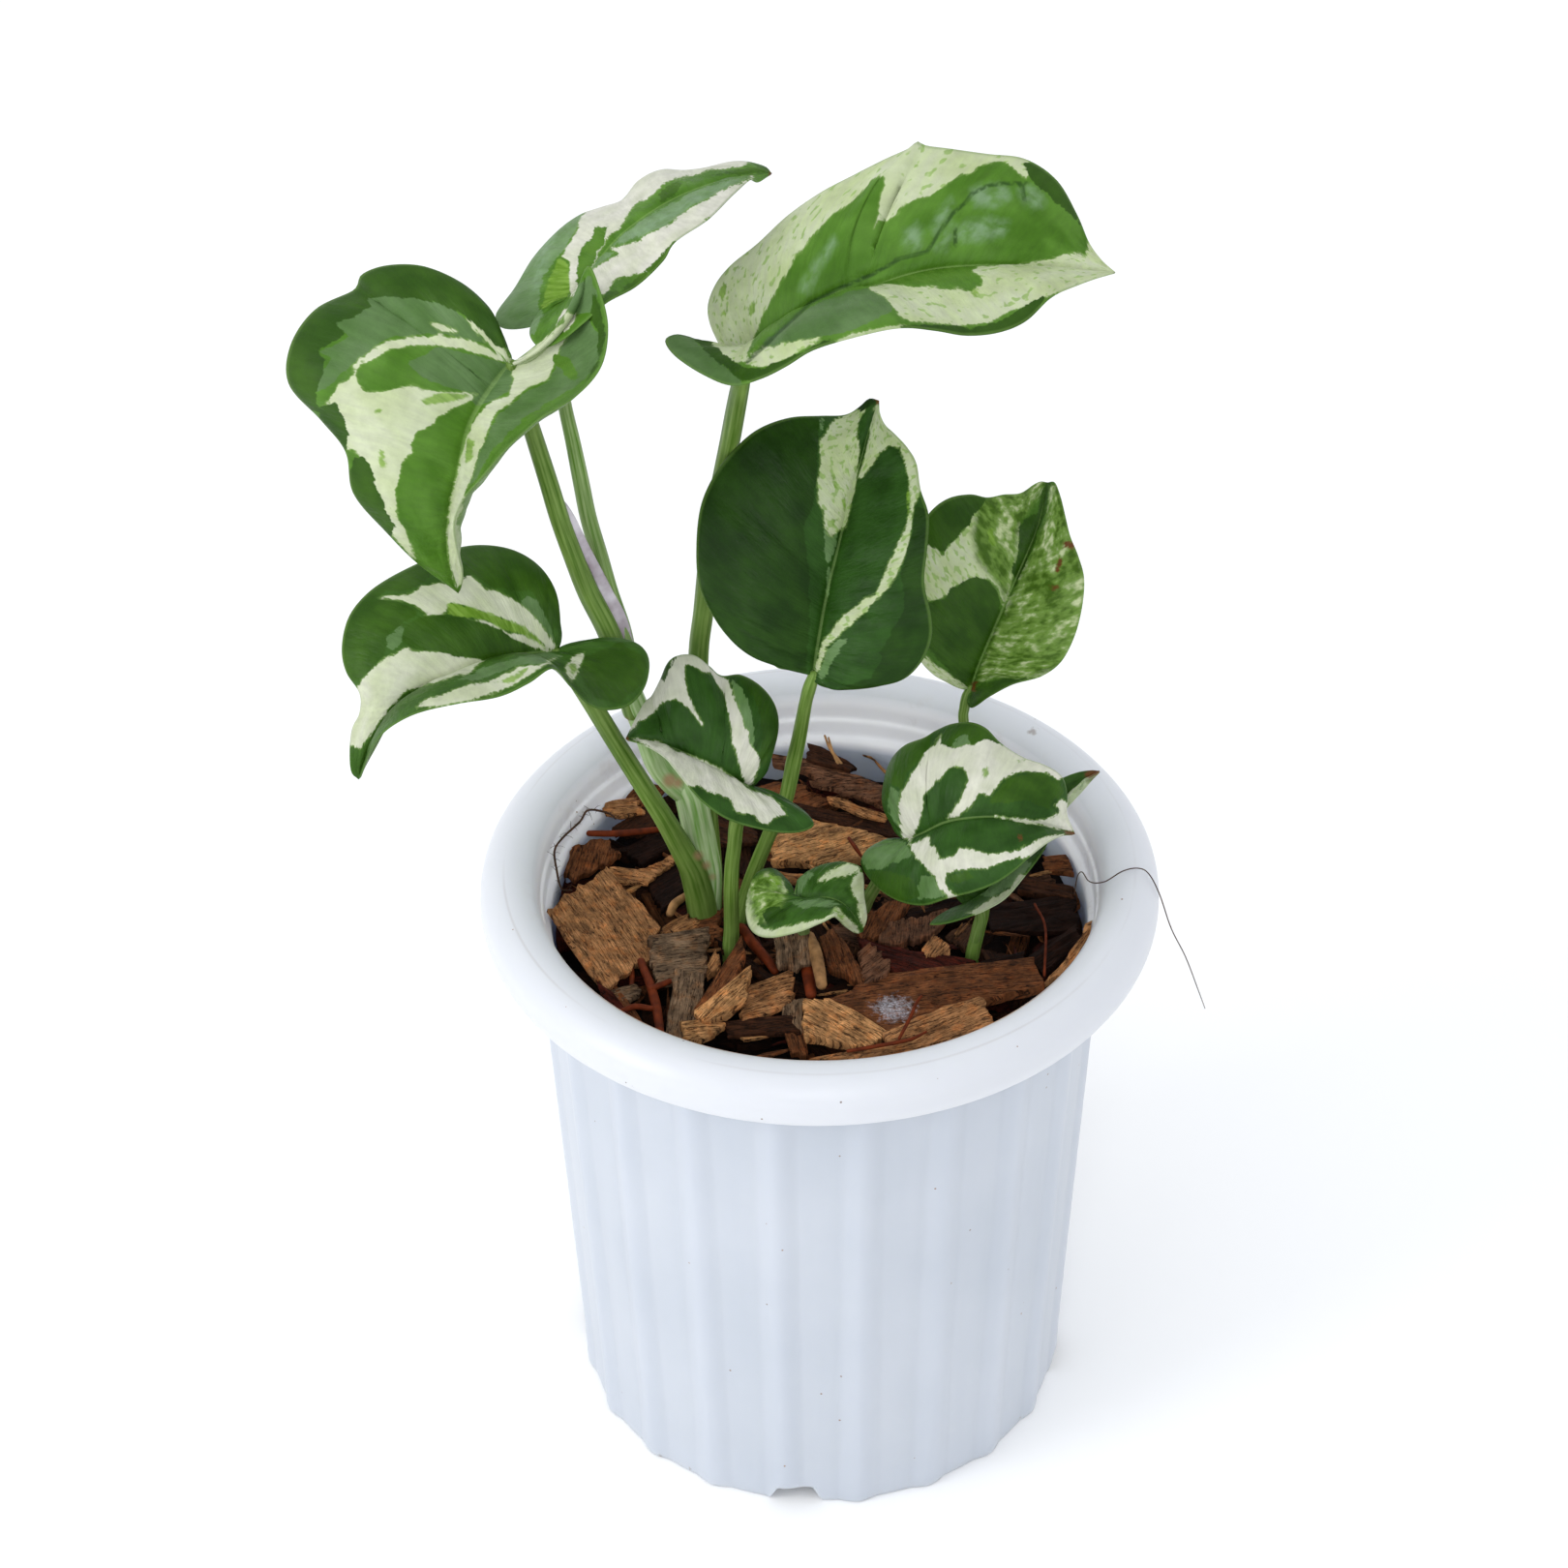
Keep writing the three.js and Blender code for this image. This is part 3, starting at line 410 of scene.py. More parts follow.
# Name of colour, thickness in millimetres, outline of the top as [pixel across, pixel down, height]. The grain runs
# from the first corner to the second.
CHIPS = [
    (TAN, 2.2, [[566, 938, 134.2], [625, 1020, 132], [671, 989, 130], [684, 958, 129], [627, 896, 130.5],
                [595, 919, 133]]),
    (GREYED, 2.2, [[670, 965, 132], [733, 957, 131], [727, 1006, 131], [677, 1016, 131]]),
    (TAN, 2, [[684, 958, 128], [712, 943, 128], [722, 957, 128], [700, 966, 128], [687, 964, 128]]),
    (BROWN, 2, [[713, 945, 127.5], [746, 939, 128], [743, 975, 127.5], [731, 972, 127.5]]),
    (GREYED, 2.4, [[697, 1001, 131.5], [687, 1067, 129], [704, 1072, 129], [718, 1068, 129.5], [728, 1006, 131.5]]),
    (BROWN, 2.4, [[766, 966, 134], [717, 1043, 131], [724, 1052, 131], [738, 1050, 131.5], [758, 1012, 133],
                  [768, 984, 134]]),
    (LIGHT, 2, [[776, 994, 134], [718, 1044, 132.5], [723, 1055, 132], [748, 1050, 132.5], [771, 1030, 133.5]]),
    (TAN, 2, [[762, 1020, 130.5], [820, 1001, 131], [816, 1033, 131], [767, 1056, 130.5]]),
    (DUSKY, 1.5, [[748, 1055, 130], [829, 1048, 130], [828, 1066, 129.5], [750, 1070, 129.5]]),
    (LIGHT, 1.5, [[764, 1066, 129.5], [798, 1061, 129.5], [795, 1069, 129], [765, 1073, 129]]),
    (GREYED, 2, [[809, 1033, 130.5], [809, 1047, 130], [829, 1065, 130], [830, 1031, 130.5]]),
    (BROWN, 2, [[811, 1066, 129.5], [818, 1087, 129], [836, 1087, 129], [830, 1068, 129.5]]),
    (LIGHT, 2.4, [[858, 1031, 132], [918, 1064, 131.5], [900, 1079, 131.5], [866, 1077, 131.5], [831, 1069, 131.5],
                  [830, 1032, 132]]),
    (BROWN, 2.6, [[917, 1004, 131], [1069, 989, 131], [1079, 1018, 130.5], [1014, 1033, 131], [956, 1050, 131],
                  [917, 1064, 131.5], [880, 1044, 131.5], [858, 1030, 131]]),
    (TAN, 2.2, [[914, 1064, 132], [968, 1042, 132], [1013, 1028, 131.5], [1029, 1056, 131], [990, 1071, 131.5],
                [946, 1083, 131.5], [917, 1078, 132]]),
    (LIGHT, 2.6, [[800, 856, 128.5], [839, 845, 129], [878, 855, 129], [932, 869, 129], [931, 884, 128.5],
                  [897, 886, 128.5], [848, 891, 128.5], [796, 887, 128]]),
    (ROSY, 1.6, [[800, 778, 131], [834, 783, 131], [861, 786, 131], [886, 801, 130.5], [915, 812, 130],
                 [917, 836, 129.5], [881, 821, 130], [820, 790, 130.5], [800, 789, 130.5]]),
    (ROSY, 1.8, [[836, 806, 131.5], [885, 803, 132], [914, 811, 131.5], [914, 827, 131], [880, 820, 131],
                 [839, 808, 131]]),
    (DUSKY, 1.6, [[834, 766, 133], [849, 771, 133], [885, 792, 132], [880, 796, 132], [836, 784, 132]]),
    (TAN, 1.4, [[856, 821, 131.5], [919, 843, 130.5], [916, 848, 130], [890, 841, 130.5], [859, 829, 131]]),
    (DUSKY, 2, [[819, 828, 129], [853, 835, 129], [917, 847, 129], [931, 866, 128.5], [898, 860, 128.5],
                [849, 847, 128.5], [821, 839, 128.5]]),
    (BROWN, 1.8, [[770, 817, 129.5], [800, 806, 129.5], [832, 812, 129], [858, 828, 129], [846, 836, 128.5],
                  [808, 828, 128.5], [780, 828, 129]]),
    (DUSKY, 1.8, [[733, 835, 129], [776, 845, 128.5], [784, 868, 128], [746, 872, 127.5], [733, 862, 128]]),
    (BROWN, 1.6, [[700, 818, 129], [722, 806, 130], [752, 814, 129.5], [738, 830, 129]]),
    (GREYED, 2.2, [[803, 998, 133.5], [800, 966, 135.5], [837, 959, 136], [846, 985, 134], [828, 1000, 133]]),
    (BROWN, 2.2, [[846, 968, 131], [856, 998, 130.5], [890, 1014, 130.5], [896, 1009, 130.5], [872, 971, 131],
                  [861, 960, 131]]),
    (ROSY, 2, [[885, 983, 131.5], [897, 974, 132], [922, 995, 131.5], [914, 1006, 131.5], [895, 1013, 131.5]]),
    (RED, 1.8, [[885, 966, 130.5], [922, 976, 130.5], [1007, 994, 129.5], [970, 1001, 130], [921, 1003, 130.5],
                [904, 993, 130.5]]),
    (ROSY, 2, [[907, 971, 130], [909, 954, 130], [984, 938, 129.5], [971, 959, 129.5], [927, 976, 130]]),
    (BROWN, 2, [[886, 966, 130.5], [896, 944, 130.5], [922, 927, 130], [942, 931, 130], [922, 953, 130],
                [902, 968, 130]]),
    (TAN, 3, [[953, 978, 130.5], [965, 962, 130.5], [980, 976, 130.5], [980, 987, 130.5], [958, 986, 130.5]]),
    (DARK, 2, [[1022, 936, 128], [1111, 922, 129], [1117, 959, 128.5], [1024, 961, 127.5]]),
    (BROWN, 2, [[1077, 884, 130], [1103, 882, 131], [1113, 900, 130.5], [1080, 898, 129.5]]),
    (DARK, 2, [[1062, 986, 129.5], [1111, 955, 131], [1119, 969, 130.5], [1078, 1003, 129.5]]),
    (TAN, 1.8, [[1081, 1014, 131], [1134, 946, 134], [1129, 968, 133], [1100, 1004, 131.5]]),
    (DUSKY, 2, [[1056, 904, 129], [1111, 917, 129.5], [1108, 927, 129.5], [1054, 920, 128.5]]),
    (TAN, 1.6, [[617, 825, 133], [657, 823, 132.5], [664, 838, 132], [641, 842, 132], [624, 839, 132.5]]),
    (BROWN, 1.8, [[640, 819, 132], [653, 808, 132], [690, 812, 131], [672, 832, 131], [650, 828, 131.5]]),
    (DUSKY, 2, [[632, 855, 130.5], [668, 832, 131], [680, 850, 130], [660, 862, 130], [637, 860, 130]]),
    (BROWN, 2, [[579, 900, 131.5], [586, 877, 132.5], [622, 864, 132], [642, 881, 131], [617, 896, 130.5],
                [594, 907, 131]]),
    (TAN, 1.4, [[628, 895, 130.5], [656, 902, 129.5], [693, 883, 129.5], [696, 888, 129], [669, 912, 129],
                [643, 912, 129.5]]),
    (DARK, 1.8, [[640, 876, 128.5], [690, 856, 128.5], [708, 868, 128], [662, 892, 128]]),
    (DARK, 1.8, [[668, 912, 127.5], [700, 892, 127.5], [712, 914, 127], [684, 940, 127]]),
    (GREYED, 1.8, [[630, 1024, 130], [657, 1017, 130], [664, 1024, 129.5], [643, 1037, 129.5]]),
    (TAN, 2, [[728, 996, 130], [740, 978, 130.5], [744, 998, 130], [730, 1009, 129.5]]),
    (LIGHT, 2, [[704, 1055, 131], [738, 1051, 131], [747, 1058, 130.5], [727, 1073, 130.5], [703, 1073, 130.5]]),
    (TAN, 1.6, [[796, 899, 128.5], [834, 902, 128.5], [830, 911, 128], [798, 906, 128]]),
    (ROSY, 1.8, [[826, 905, 128], [858, 912, 128], [850, 930, 128], [822, 920, 128]]),
    (TAN, 1.4, [[834, 1093, 132], [897, 1081, 132.5], [936, 1077, 132.5], [972, 1082, 132], [956, 1086, 132],
                [897, 1090, 132], [861, 1094, 132]]),
    (DARK, 1.6, [[985, 1000, 128.5], [1056, 982, 128.5], [1062, 1000, 128], [990, 1010, 128]]),
    (BROWN, 1.8, [[600, 976, 130.5], [590, 960, 131], [640, 1040, 130.5], [660, 1056, 130], [668, 1052, 130]]),
    (RED, 1.5, [[618, 1014, 132], [634, 1026, 131.5], [650, 1047, 131], [640, 1044, 131], [622, 1024, 131.5]]),
]


def value_noise(x, y, seed):
    """Noise from -1 to 1: a random number at every whole x and y, from the fraction of a large sine, with smooth steps
    between."""
    def at(i, j):
        """The random number at a whole x and y."""
        wave = np.sin(i * 127.1 + j * 311.7 + seed * 74.7) * 43758.5453
        return 2 * (wave - np.floor(wave)) - 1

    i, j = np.floor(x), np.floor(y)
    u, v = smoothstep(x - i), smoothstep(y - j)
    low = at(i, j) * (1 - u) + at(i + 1, j) * u
    high = at(i, j + 1) * (1 - u) + at(i + 1, j + 1) * u
    return low * (1 - v) + high * v


def unit(vectors):
    """The vectors at length one."""
    return vectors / np.maximum(np.linalg.norm(vectors, axis=-1, keepdims=True), 1e-12)


def run_along(line):
    """The length of a line of points up to each of them."""
    return np.concatenate([[0], np.cumsum(np.linalg.norm(np.diff(line, axis=0), axis=1))])


def chip_grid(corners, thick, seed, columns=64, rings=7, jag=1.0, ridge=1.0):
    """A torn slab in millimetres under a flat outline: rings from the middle of the top to its edge, down the side and
    back to the middle below. Ends are torn along the grain, and the top is ridged along it. Returns points and grain
    coordinates."""
    corners = np.asarray(corners, float)
    closed = np.vstack([corners, corners[:1]])
    run = run_along(closed)
    counts = np.maximum(1, np.round(columns * np.diff(run) / run[-1]).astype(int))
    counts[np.argmax(counts)] += columns - counts.sum()
    share = np.concatenate([np.linspace(run[k], run[k + 1], counts[k], endpoint=False) for k in range(len(counts))])
    edge = np.stack([np.interp(share, run, closed[:, k]) for k in range(3)], -1)
    centre = edge.mean(0)
    grain = unit(corners[1] - corners[0])
    normal = unit(np.cross(edge - centre, np.roll(edge, -1, 0) - centre).sum(0))
    normal = normal if normal[2] > 0 else -normal
    across = np.cross(normal, grain)
    a, b, h = (edge - centre) @ grain, (edge - centre) @ across, (edge - centre) @ normal
    a = a + jag * (0.7 * value_noise(b * 0.9, 0 * b, seed) + 0.5 * value_noise(b * 2.6, 0 * b, seed + 3))
    b = b + 0.3 * jag * value_noise(a * 0.25, 0 * a, seed + 5)
    inner = np.linspace(0, 1, rings)[:, None] ** 0.8
    top_a, top_b = inner * a, inner * b
    ridges = 0.34 * value_noise(top_b * 0.9, top_a * 0.08, seed + 7)
    ridges = ridges + 0.28 * value_noise(top_b * 2.4, top_a * 0.2, seed + 9)
    top_h = inner * h + ridge * ridges - 0.2 * (inner > 0.98)
    a = np.vstack([top_a, a, top_a[::-1] * 0.97])
    b = np.vstack([top_b, b + 0.12 * np.sign(b), top_b[::-1] * 0.97])
    h = np.vstack([top_h, h - thick / 2, inner[::-1] * h - thick])
    points = centre + a[..., None] * grain + b[..., None] * across + h[..., None] * normal
    out = np.linalg.norm(points[..., :2], axis=-1, keepdims=True)
    limit = INNER_RADIUS + LEDGE_WIDTH * smoothstep((points[..., 2:] - LEDGE_LEVEL) / 1.2)
    points[..., :2] *= np.minimum(1, limit / np.maximum(out, 1e-9))
    return points, np.stack([a + 37.3 * seed, b + 11.9 * seed], -1)


def joined_grids(grids):
    """Points and faces of several grids, each closed round its columns."""
    points, faces, start = [], [], 0
    for grid in grids:
        points.append(grid.reshape(-1, 3))
        faces.append(ring_faces(*grid.shape[:2]) + start)
        start += grid.shape[0] * grid.shape[1]
    return np.vstack(points), np.vstack(faces)


def store(piece, kind, values):
    """Keeps one number, or one colour, at every point of a piece."""
    values = np.asarray(values, np.float32)
    coloured = values.ndim == 2
    kept = piece.data.attributes.new(kind, "FLOAT_COLOR" if coloured else "FLOAT", "POINT")
    kept.data.foreach_set("color" if coloured else "value", values.ravel())


def store_spread(piece, name, spread):
    """Keeps flat coordinates for the texture at every face corner, from those at the points."""
    corner = np.empty(len(piece.data.loops), np.int32)
    piece.data.loops.foreach_get("vertex_index", corner)
    layer = piece.data.uv_layers.new(name=name)
    layer.data.foreach_set("uv", spread[corner].ravel().astype(np.float32))


def srgb(red, green, blue):
    """A colour from its 0 to 255 screen values, made linear with the power 2.2 of each share."""
    return (*((value / 255) ** 2.2 for value in (red, green, blue)), 1)


grids, spreads, tints = [], [], []


def gather(grid, spread, colour):
    """Adds a grid to those of the next bark piece, with its grain coordinates and its colour."""
    grids.append(grid)
    spreads.append(spread.reshape(-1, 2))
    tints.append(np.tile(colour, (len(spreads[-1]), 1)))


def bark_piece(name):
    """One piece of all that is gathered, which leaves nothing for the next."""
    points, faces = joined_grids(grids)
    piece = mesh_object(name, points * MM, faces)
    store(piece, "chip_colour", np.vstack(tints))
    store_spread(piece, "grain", np.vstack(spreads))
    join_doubles(piece)
    piece.data.set_sharp_from_angle(angle=math.radians(40))
    for gathered in (grids, spreads, tints):
        gathered.clear()
    return piece


for number, (colour, thick, outline) in enumerate(CHIPS):
    gather(*chip_grid(seen_at_height(outline) / MM, thick, number), srgb(*colour))

# An uneven bed under the chips, closed by a flat floor, coloured near-black as painted shade for the gaps
bed_away = np.concatenate([[0], np.linspace(1.5, INNER_RADIUS, 40), [INNER_RADIUS, INNER_RADIUS, 0]])[:, None]
bed_x, bed_y = bed_away * np.cos(round_turn(160)), bed_away * np.sin(round_turn(160))
bed_z = BED_TOP + 1.2 * value_noise(bed_x * 0.3, bed_y * 0.3, 1) + 0.6 * value_noise(bed_x * 0.9, bed_y * 0.9, 2)
bed_z[-2:] = BED_TOP - BED_DEPTH
gather(np.stack([bed_x, bed_y, bed_z], -1), np.stack([bed_x, bed_y], -1), srgb(26, 16, 12))
large_chips = bark_piece("bark_chips")

FILLERS = 260
SLIVERS = 110
FILLER_COLOURS = (BROWN, DUSKY, DUSKY, DUSKY, RED, ROSY)
SLIVER_COLOURS = (TAN, LIGHT, BROWN, BROWN, RED, ROSY)
chance = np.random.default_rng(5)


def thrown(reach, lengths, widths, slopes, levels):
    """Somewhere on the bed, at some angle: a middle in millimetres and half a chip's length and width from it."""
    away, round_pot = reach * math.sqrt(chance.random()), 2 * math.pi * chance.random()
    length, width = chance.uniform(*lengths), chance.uniform(*widths)
    turn = chance.uniform(0, 2 * math.pi)
    long_way = unit(np.array([math.cos(turn), math.sin(turn), chance.normal(0, slopes[0])])) * length / 2
    wide_way = unit(np.array([-math.sin(turn), math.cos(turn), chance.normal(0, slopes[1])])) * width / 2
    middle = np.array([away * math.cos(round_pot), away * math.sin(round_pot), chance.uniform(*levels)])
    return middle, np.array([long_way, wide_way])


def some_colour(colours, low, high):
    """One of the colours, darkened by a share between the low and the high value."""
    return np.array(srgb(*colours[chance.integers(len(colours))])) * chance.uniform(low, high)


# The fillers lie low among the chips and are darkened, partly as random tone and partly as painted shade in the gaps
for number in range(FILLERS):
    middle, ways = thrown(reach=57, lengths=(7, 22), widths=(2.5, 8), slopes=(0.16, 0.16), levels=(121, 126.5))
    shape = np.array([[-1, -1], [1, -0.8], [0.9, 0.8], [-0.85, 1]]) * chance.uniform(0.7, 1.1, (4, 2))
    chip = chip_grid(middle + shape @ ways, chance.uniform(1, 2.4), 100 + number, columns=28, rings=4)
    gather(*chip, some_colour(FILLER_COLOURS, 0.35, 0.95))

for number in range(SLIVERS):
    middle, ways = thrown(reach=56, lengths=(5, 17), widths=(0.5, 1.6), slopes=(0.22, 0.3), levels=(125.5, 129))
    shape = np.array([[-1, -0.4], [0.3, -1], [1, 0.2], [0.2, 1]])
    chip = chip_grid(middle + shape @ ways, 0.7, 500 + number, columns=20, rings=3, jag=0.4, ridge=0.3)
    gather(*chip, some_colour(SLIVER_COLOURS, 0.5, 1))

small_chips = bark_piece("small_chips")

bark_material, node, shader, link = new_material("bark")


def held(kind, part="Fac"):
    """What a piece keeps at its points under a name."""
    return node("ShaderNodeAttribute", {"attribute_name": kind}).outputs[part]


def times(colour, strength):
    """A colour made lighter or darker by a factor."""
    return node("ShaderNodeVectorMath", {"operation": "SCALE"}, i0=colour, Scale=strength).outputs[0]


along_grain = node("ShaderNodeUVMap", {"uv_map": "grain"}).outputs["UV"]
place = node("ShaderNodeTexCoord").outputs["Object"]

# Each chip's own colour, warmer in places, and lighter or darker in streaks, blotches and grains
fibre = noise(stretched(along_grain, (0.13, 3, 1)), 1, 5, 0.62)
warm = ramp(noise(along_grain, 0.35, 4, 0.6), 0.5, 0.68, 0, 0.6)
toned = blend(warm, held("chip_colour", "Color"), (1.35, 0.95, 0.62, 1), "MULTIPLY")
streak = ramp(fibre, 0.32, 0.68, 0.54, 1.06)
blotch = ramp(noise(along_grain, 0.22, 3), 0.3, 0.7, 0.62, 1.42)
grainy = ramp(noise(place, 520, 6, 0.7), 0.32, 0.68, 0.6, 1.35)
toned = times(toned, product(streak, blotch, grainy))

# Dark specks, and cracks where a noise crosses its middle
speckle = noise(stretched(along_grain, (0.5, 5, 1)), 1, 3)
toned = blend(ramp(speckle, 0.59, 0.66, 0, 0.85), toned, srgb(34, 20, 14))
off_crack = combined("SUBTRACT", noise(stretched(along_grain, (0.09, 0.9, 1)), 1, 4, 0.6), 0.5)
crack = ramp(combined("ABSOLUTE", off_crack), 0.02, 0.004, 0, 0.8)
toned = blend(crack, toned, srgb(30, 18, 12))

# A patch of whitish mould on one chip, ragged at its edge and tufted
MOULD_PLACE = seen_at_height([[922, 1040, 131.5]])[0]
mould_edge = combined("MULTIPLY_ADD", noise(place, 700, 6, 0.7), -0.012, distance(place, tuple(MOULD_PLACE)))
mould = product(ramp(mould_edge, -0.001, -0.004), ramp(noise(place, 1900, 3), 0.35, 0.62, 0.15, 0.95))
link.new(blend(mould, toned, srgb(200, 198, 208)), shader.inputs["Base Color"])
shader.inputs["Roughness"].default_value = 0.78
shader.inputs["Specular IOR Level"].default_value = 0.12
fibre_height = combined("MULTIPLY_ADD", speckle, 0.35, fibre)
relief(strength=1, depth=0.0009, height=combined("MULTIPLY_ADD", crack, -0.5, fibre_height))
for piece in (large_chips, small_chips):
    piece.data.materials.append(bark_material)
    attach(piece, "root")
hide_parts("bark_mix")


# Roots and fibres
# Red-brown and pale husk sticks and tufts among the chips, a hairy rootlet inside the left wall and a fine dark fibre
# over the rim. Rows are [pixel across, pixel down, height in mm, radius in mm].

STICKS = [
    [[662, 993, 130, 0.9], [672, 1018, 130.5, 1], [678, 1040, 130, 1.1], [682, 1066, 130, 0.9]],
    [[652, 998, 129, 0.6], [653, 1010, 129, 0.6], [652, 1022, 129, 0.5]],
    [[672, 1022, 131, 0.7], [684, 1017, 131, 0.7], [697, 1012, 130, 0.6]],
    [[766, 958, 131, 1.1], [779, 976, 130.5, 1.2], [793, 992, 130, 1.1], [801, 1004, 129, 0.9]],
    [[608, 861, 133, 0.7], [640, 861, 132, 0.8], [680, 857, 131, 0.7]],
    [[826, 978, 131.5, 1.3], [834, 1000, 131, 1.5], [838, 1028, 130.5, 1.2]],
    [[642, 1045, 130.5, 0.6], [656, 1040, 130.5, 0.7], [674, 1042, 130.5, 0.6]],
    [[877, 866, 131.5, 0.4], [884, 876, 131.5, 0.5], [890, 885, 130.5, 0.3]],
    [[929, 1073, 133.5, 0.35], [940, 1052, 133.8, 0.4], [947, 1036, 133.5, 0.35], [952, 1029, 133, 0.3]],
    [[1069, 934, 130.5, 0.3], [1080, 959, 131.5, 0.3], [1079, 1008, 131.5, 0.3]],
    [[876, 1086, 133, 0.4], [910, 1080, 133.8, 0.45], [940, 1074, 134.2, 0.4], [957, 1066, 134, 0.25]],
]
PALE_STICKS = [
    [[836, 967, 134, 1.2], [842, 982, 134, 1.4], [846, 1000, 133.5, 1.4], [849, 1018, 132.5, 1.2]],
    [[692, 944, 129, 0.9], [697, 934, 129.5, 1], [709, 925, 129, 0.8]],
    [[852, 760, 135, 0.25], [858, 774, 133.5, 0.35], [869, 789, 132, 0.4]],
    [[856, 762, 134.5, 0.2], [860, 776, 133.5, 0.3], [866, 790, 132, 0.3]],
]
ROOTLET = [[636, 846, 132, 0.2], [628, 840, 133, 0.25], [608, 837, 136, 0.25], [599, 849, 136, 0.28],
           [581, 866, 137.5, 0.28], [573, 879, 138, 0.25], [575, 898, 135, 0.25], [580, 918, 131.5, 0.2],
           [591, 920, 130.5, 0.18]]
LONG_FIBRE = [[1110, 924, 136, 0.12], [1113, 906, 139, 0.12], [1118, 901, 141, 0.12], [1126, 911, 143.4, 0.13],
              [1141, 911, 145.3, 0.14], [1160, 900, 145.7, 0.14], [1176, 897, 145.5, 0.14], [1187, 903, 144.4, 0.14],
              [1198, 924, 140.5, 0.14], [1210, 959, 130, 0.13], [1225, 989, 122, 0.12], [1238, 1023, 115, 0.1],
              [1245, 1042, 111, 0.08]]
ROOTLET_HAIRS = 46


def tube_grid(rows, sides, rings, lobes=0, lobe_share=0.0):
    """A round bar through rows of [x, y, z, radius], as closed rings with a rounded cap at both ends. Lobes are
    lengthwise ridges, each a cosine of the angle."""
    line = through(rows, np.linspace(0, 1, rings))
    ahead = unit(np.gradient(line[:, :3], axis=0))
    least = np.eye(3)[np.argmin(np.abs(ahead.mean(0)))]
    side = unit(np.cross(ahead, least))
    above = np.cross(side, ahead)
    radius = line[:, 3]
    shifts, widths = (-0.8, -0.55, 0), (0, 0.7, 1)
    first = [line[0, :3] + ahead[0] * radius[0] * shift for shift in shifts]
    final = [line[-1, :3] - ahead[-1] * radius[-1] * shift for shift in shifts[::-1]]
    centre = np.vstack([first, line[1:-1, :3], final])
    pick = np.concatenate([[0, 0], np.arange(rings), [rings - 1, rings - 1]])
    reach = np.concatenate([radius[0] * np.array(widths), radius[1:-1], radius[-1] * np.array(widths[::-1])])
    turn = round_turn(sides)[None, :, None]
    radial = np.cos(turn) * side[pick][:, None] + np.sin(turn) * above[pick][:, None]
    wave = 1 + lobe_share * np.cos(lobes * turn)
    return centre[:, None] + radial * reach[:, None, None] * wave


def placed(rows, seen_from=seen_at_height):
    """Rows of a bar in the photograph as [x, y, z, radius] in millimetres."""
    return np.column_stack([seen_from(rows) / MM, np.array(rows)[:, 3]])


def bars(name, grids, reach=1e-6):
    """One piece of several bars."""
    points, faces = joined_grids(grids)
    piece = mesh_object(name, points * MM, faces)
    join_doubles(piece, reach)
    return piece


sticks = bars("husk_sticks", [tube_grid(placed(rows), sides=10, rings=24) for rows in STICKS])
pale_sticks = bars("pale_sticks", [tube_grid(placed(rows), sides=12, rings=20) for rows in PALE_STICKS])
fine_bars = [tube_grid(placed(rows), sides=6, rings=90) for rows in (ROOTLET, LONG_FIBRE)]
hair_roots = through(placed(ROOTLET), np.linspace(0.05, 0.97, ROOTLET_HAIRS))[:, :3]
for hair, start in enumerate(hair_roots):
    lean = np.array([math.cos(2.4 * hair), math.sin(2.4 * hair), 0.6 * math.sin(1.7 * hair)])
    lean = lean * (1.6 + 0.9 * math.sin(5.1 * hair))
    bend = start + lean * 0.6 + np.array([0, 0, 0.3])
    fine_bars.append(tube_grid([[*start, 0.07], [*bend, 0.05], [*(start + lean), 0.03]], sides=4, rings=6))
fibres = bars("stray_fibres", fine_bars, 1e-7)

for piece, name, colour in ((sticks, "red_brown_husk", (98, 42, 18)), (pale_sticks, "pale_husk", (150, 112, 74)),
                            (fibres, "dark_fibre", (74, 54, 42))):
    husk_material, node, shader, link = new_material(name)
    place = node("ShaderNodeTexCoord").outputs["Object"]
    cloud = noise(place, 420, 3)
    link.new(times(srgb(*colour)[:3], ramp(cloud, 0.3, 0.7, 0.5, 1.3)), shader.inputs["Base Color"])
    relief(strength=0.5, depth=0.0004, height=cloud)
    shader.inputs["Roughness"].default_value = 0.7
    shader.inputs["Specular IOR Level"].default_value = 0.15
    piece.data.materials.append(husk_material)
    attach(piece, "root")


# The stalks
# Green fleshy stalks, grooved lengthwise, which rise from the bark and narrow towards the notch of each leaf. The
# thick one on the left is a climbing stem with a scarred joint. Each stalk has how pale it is, from 0 to 1, and rows
# of [pixel across, pixel down, mm behind the pot's axis, radius in mm].

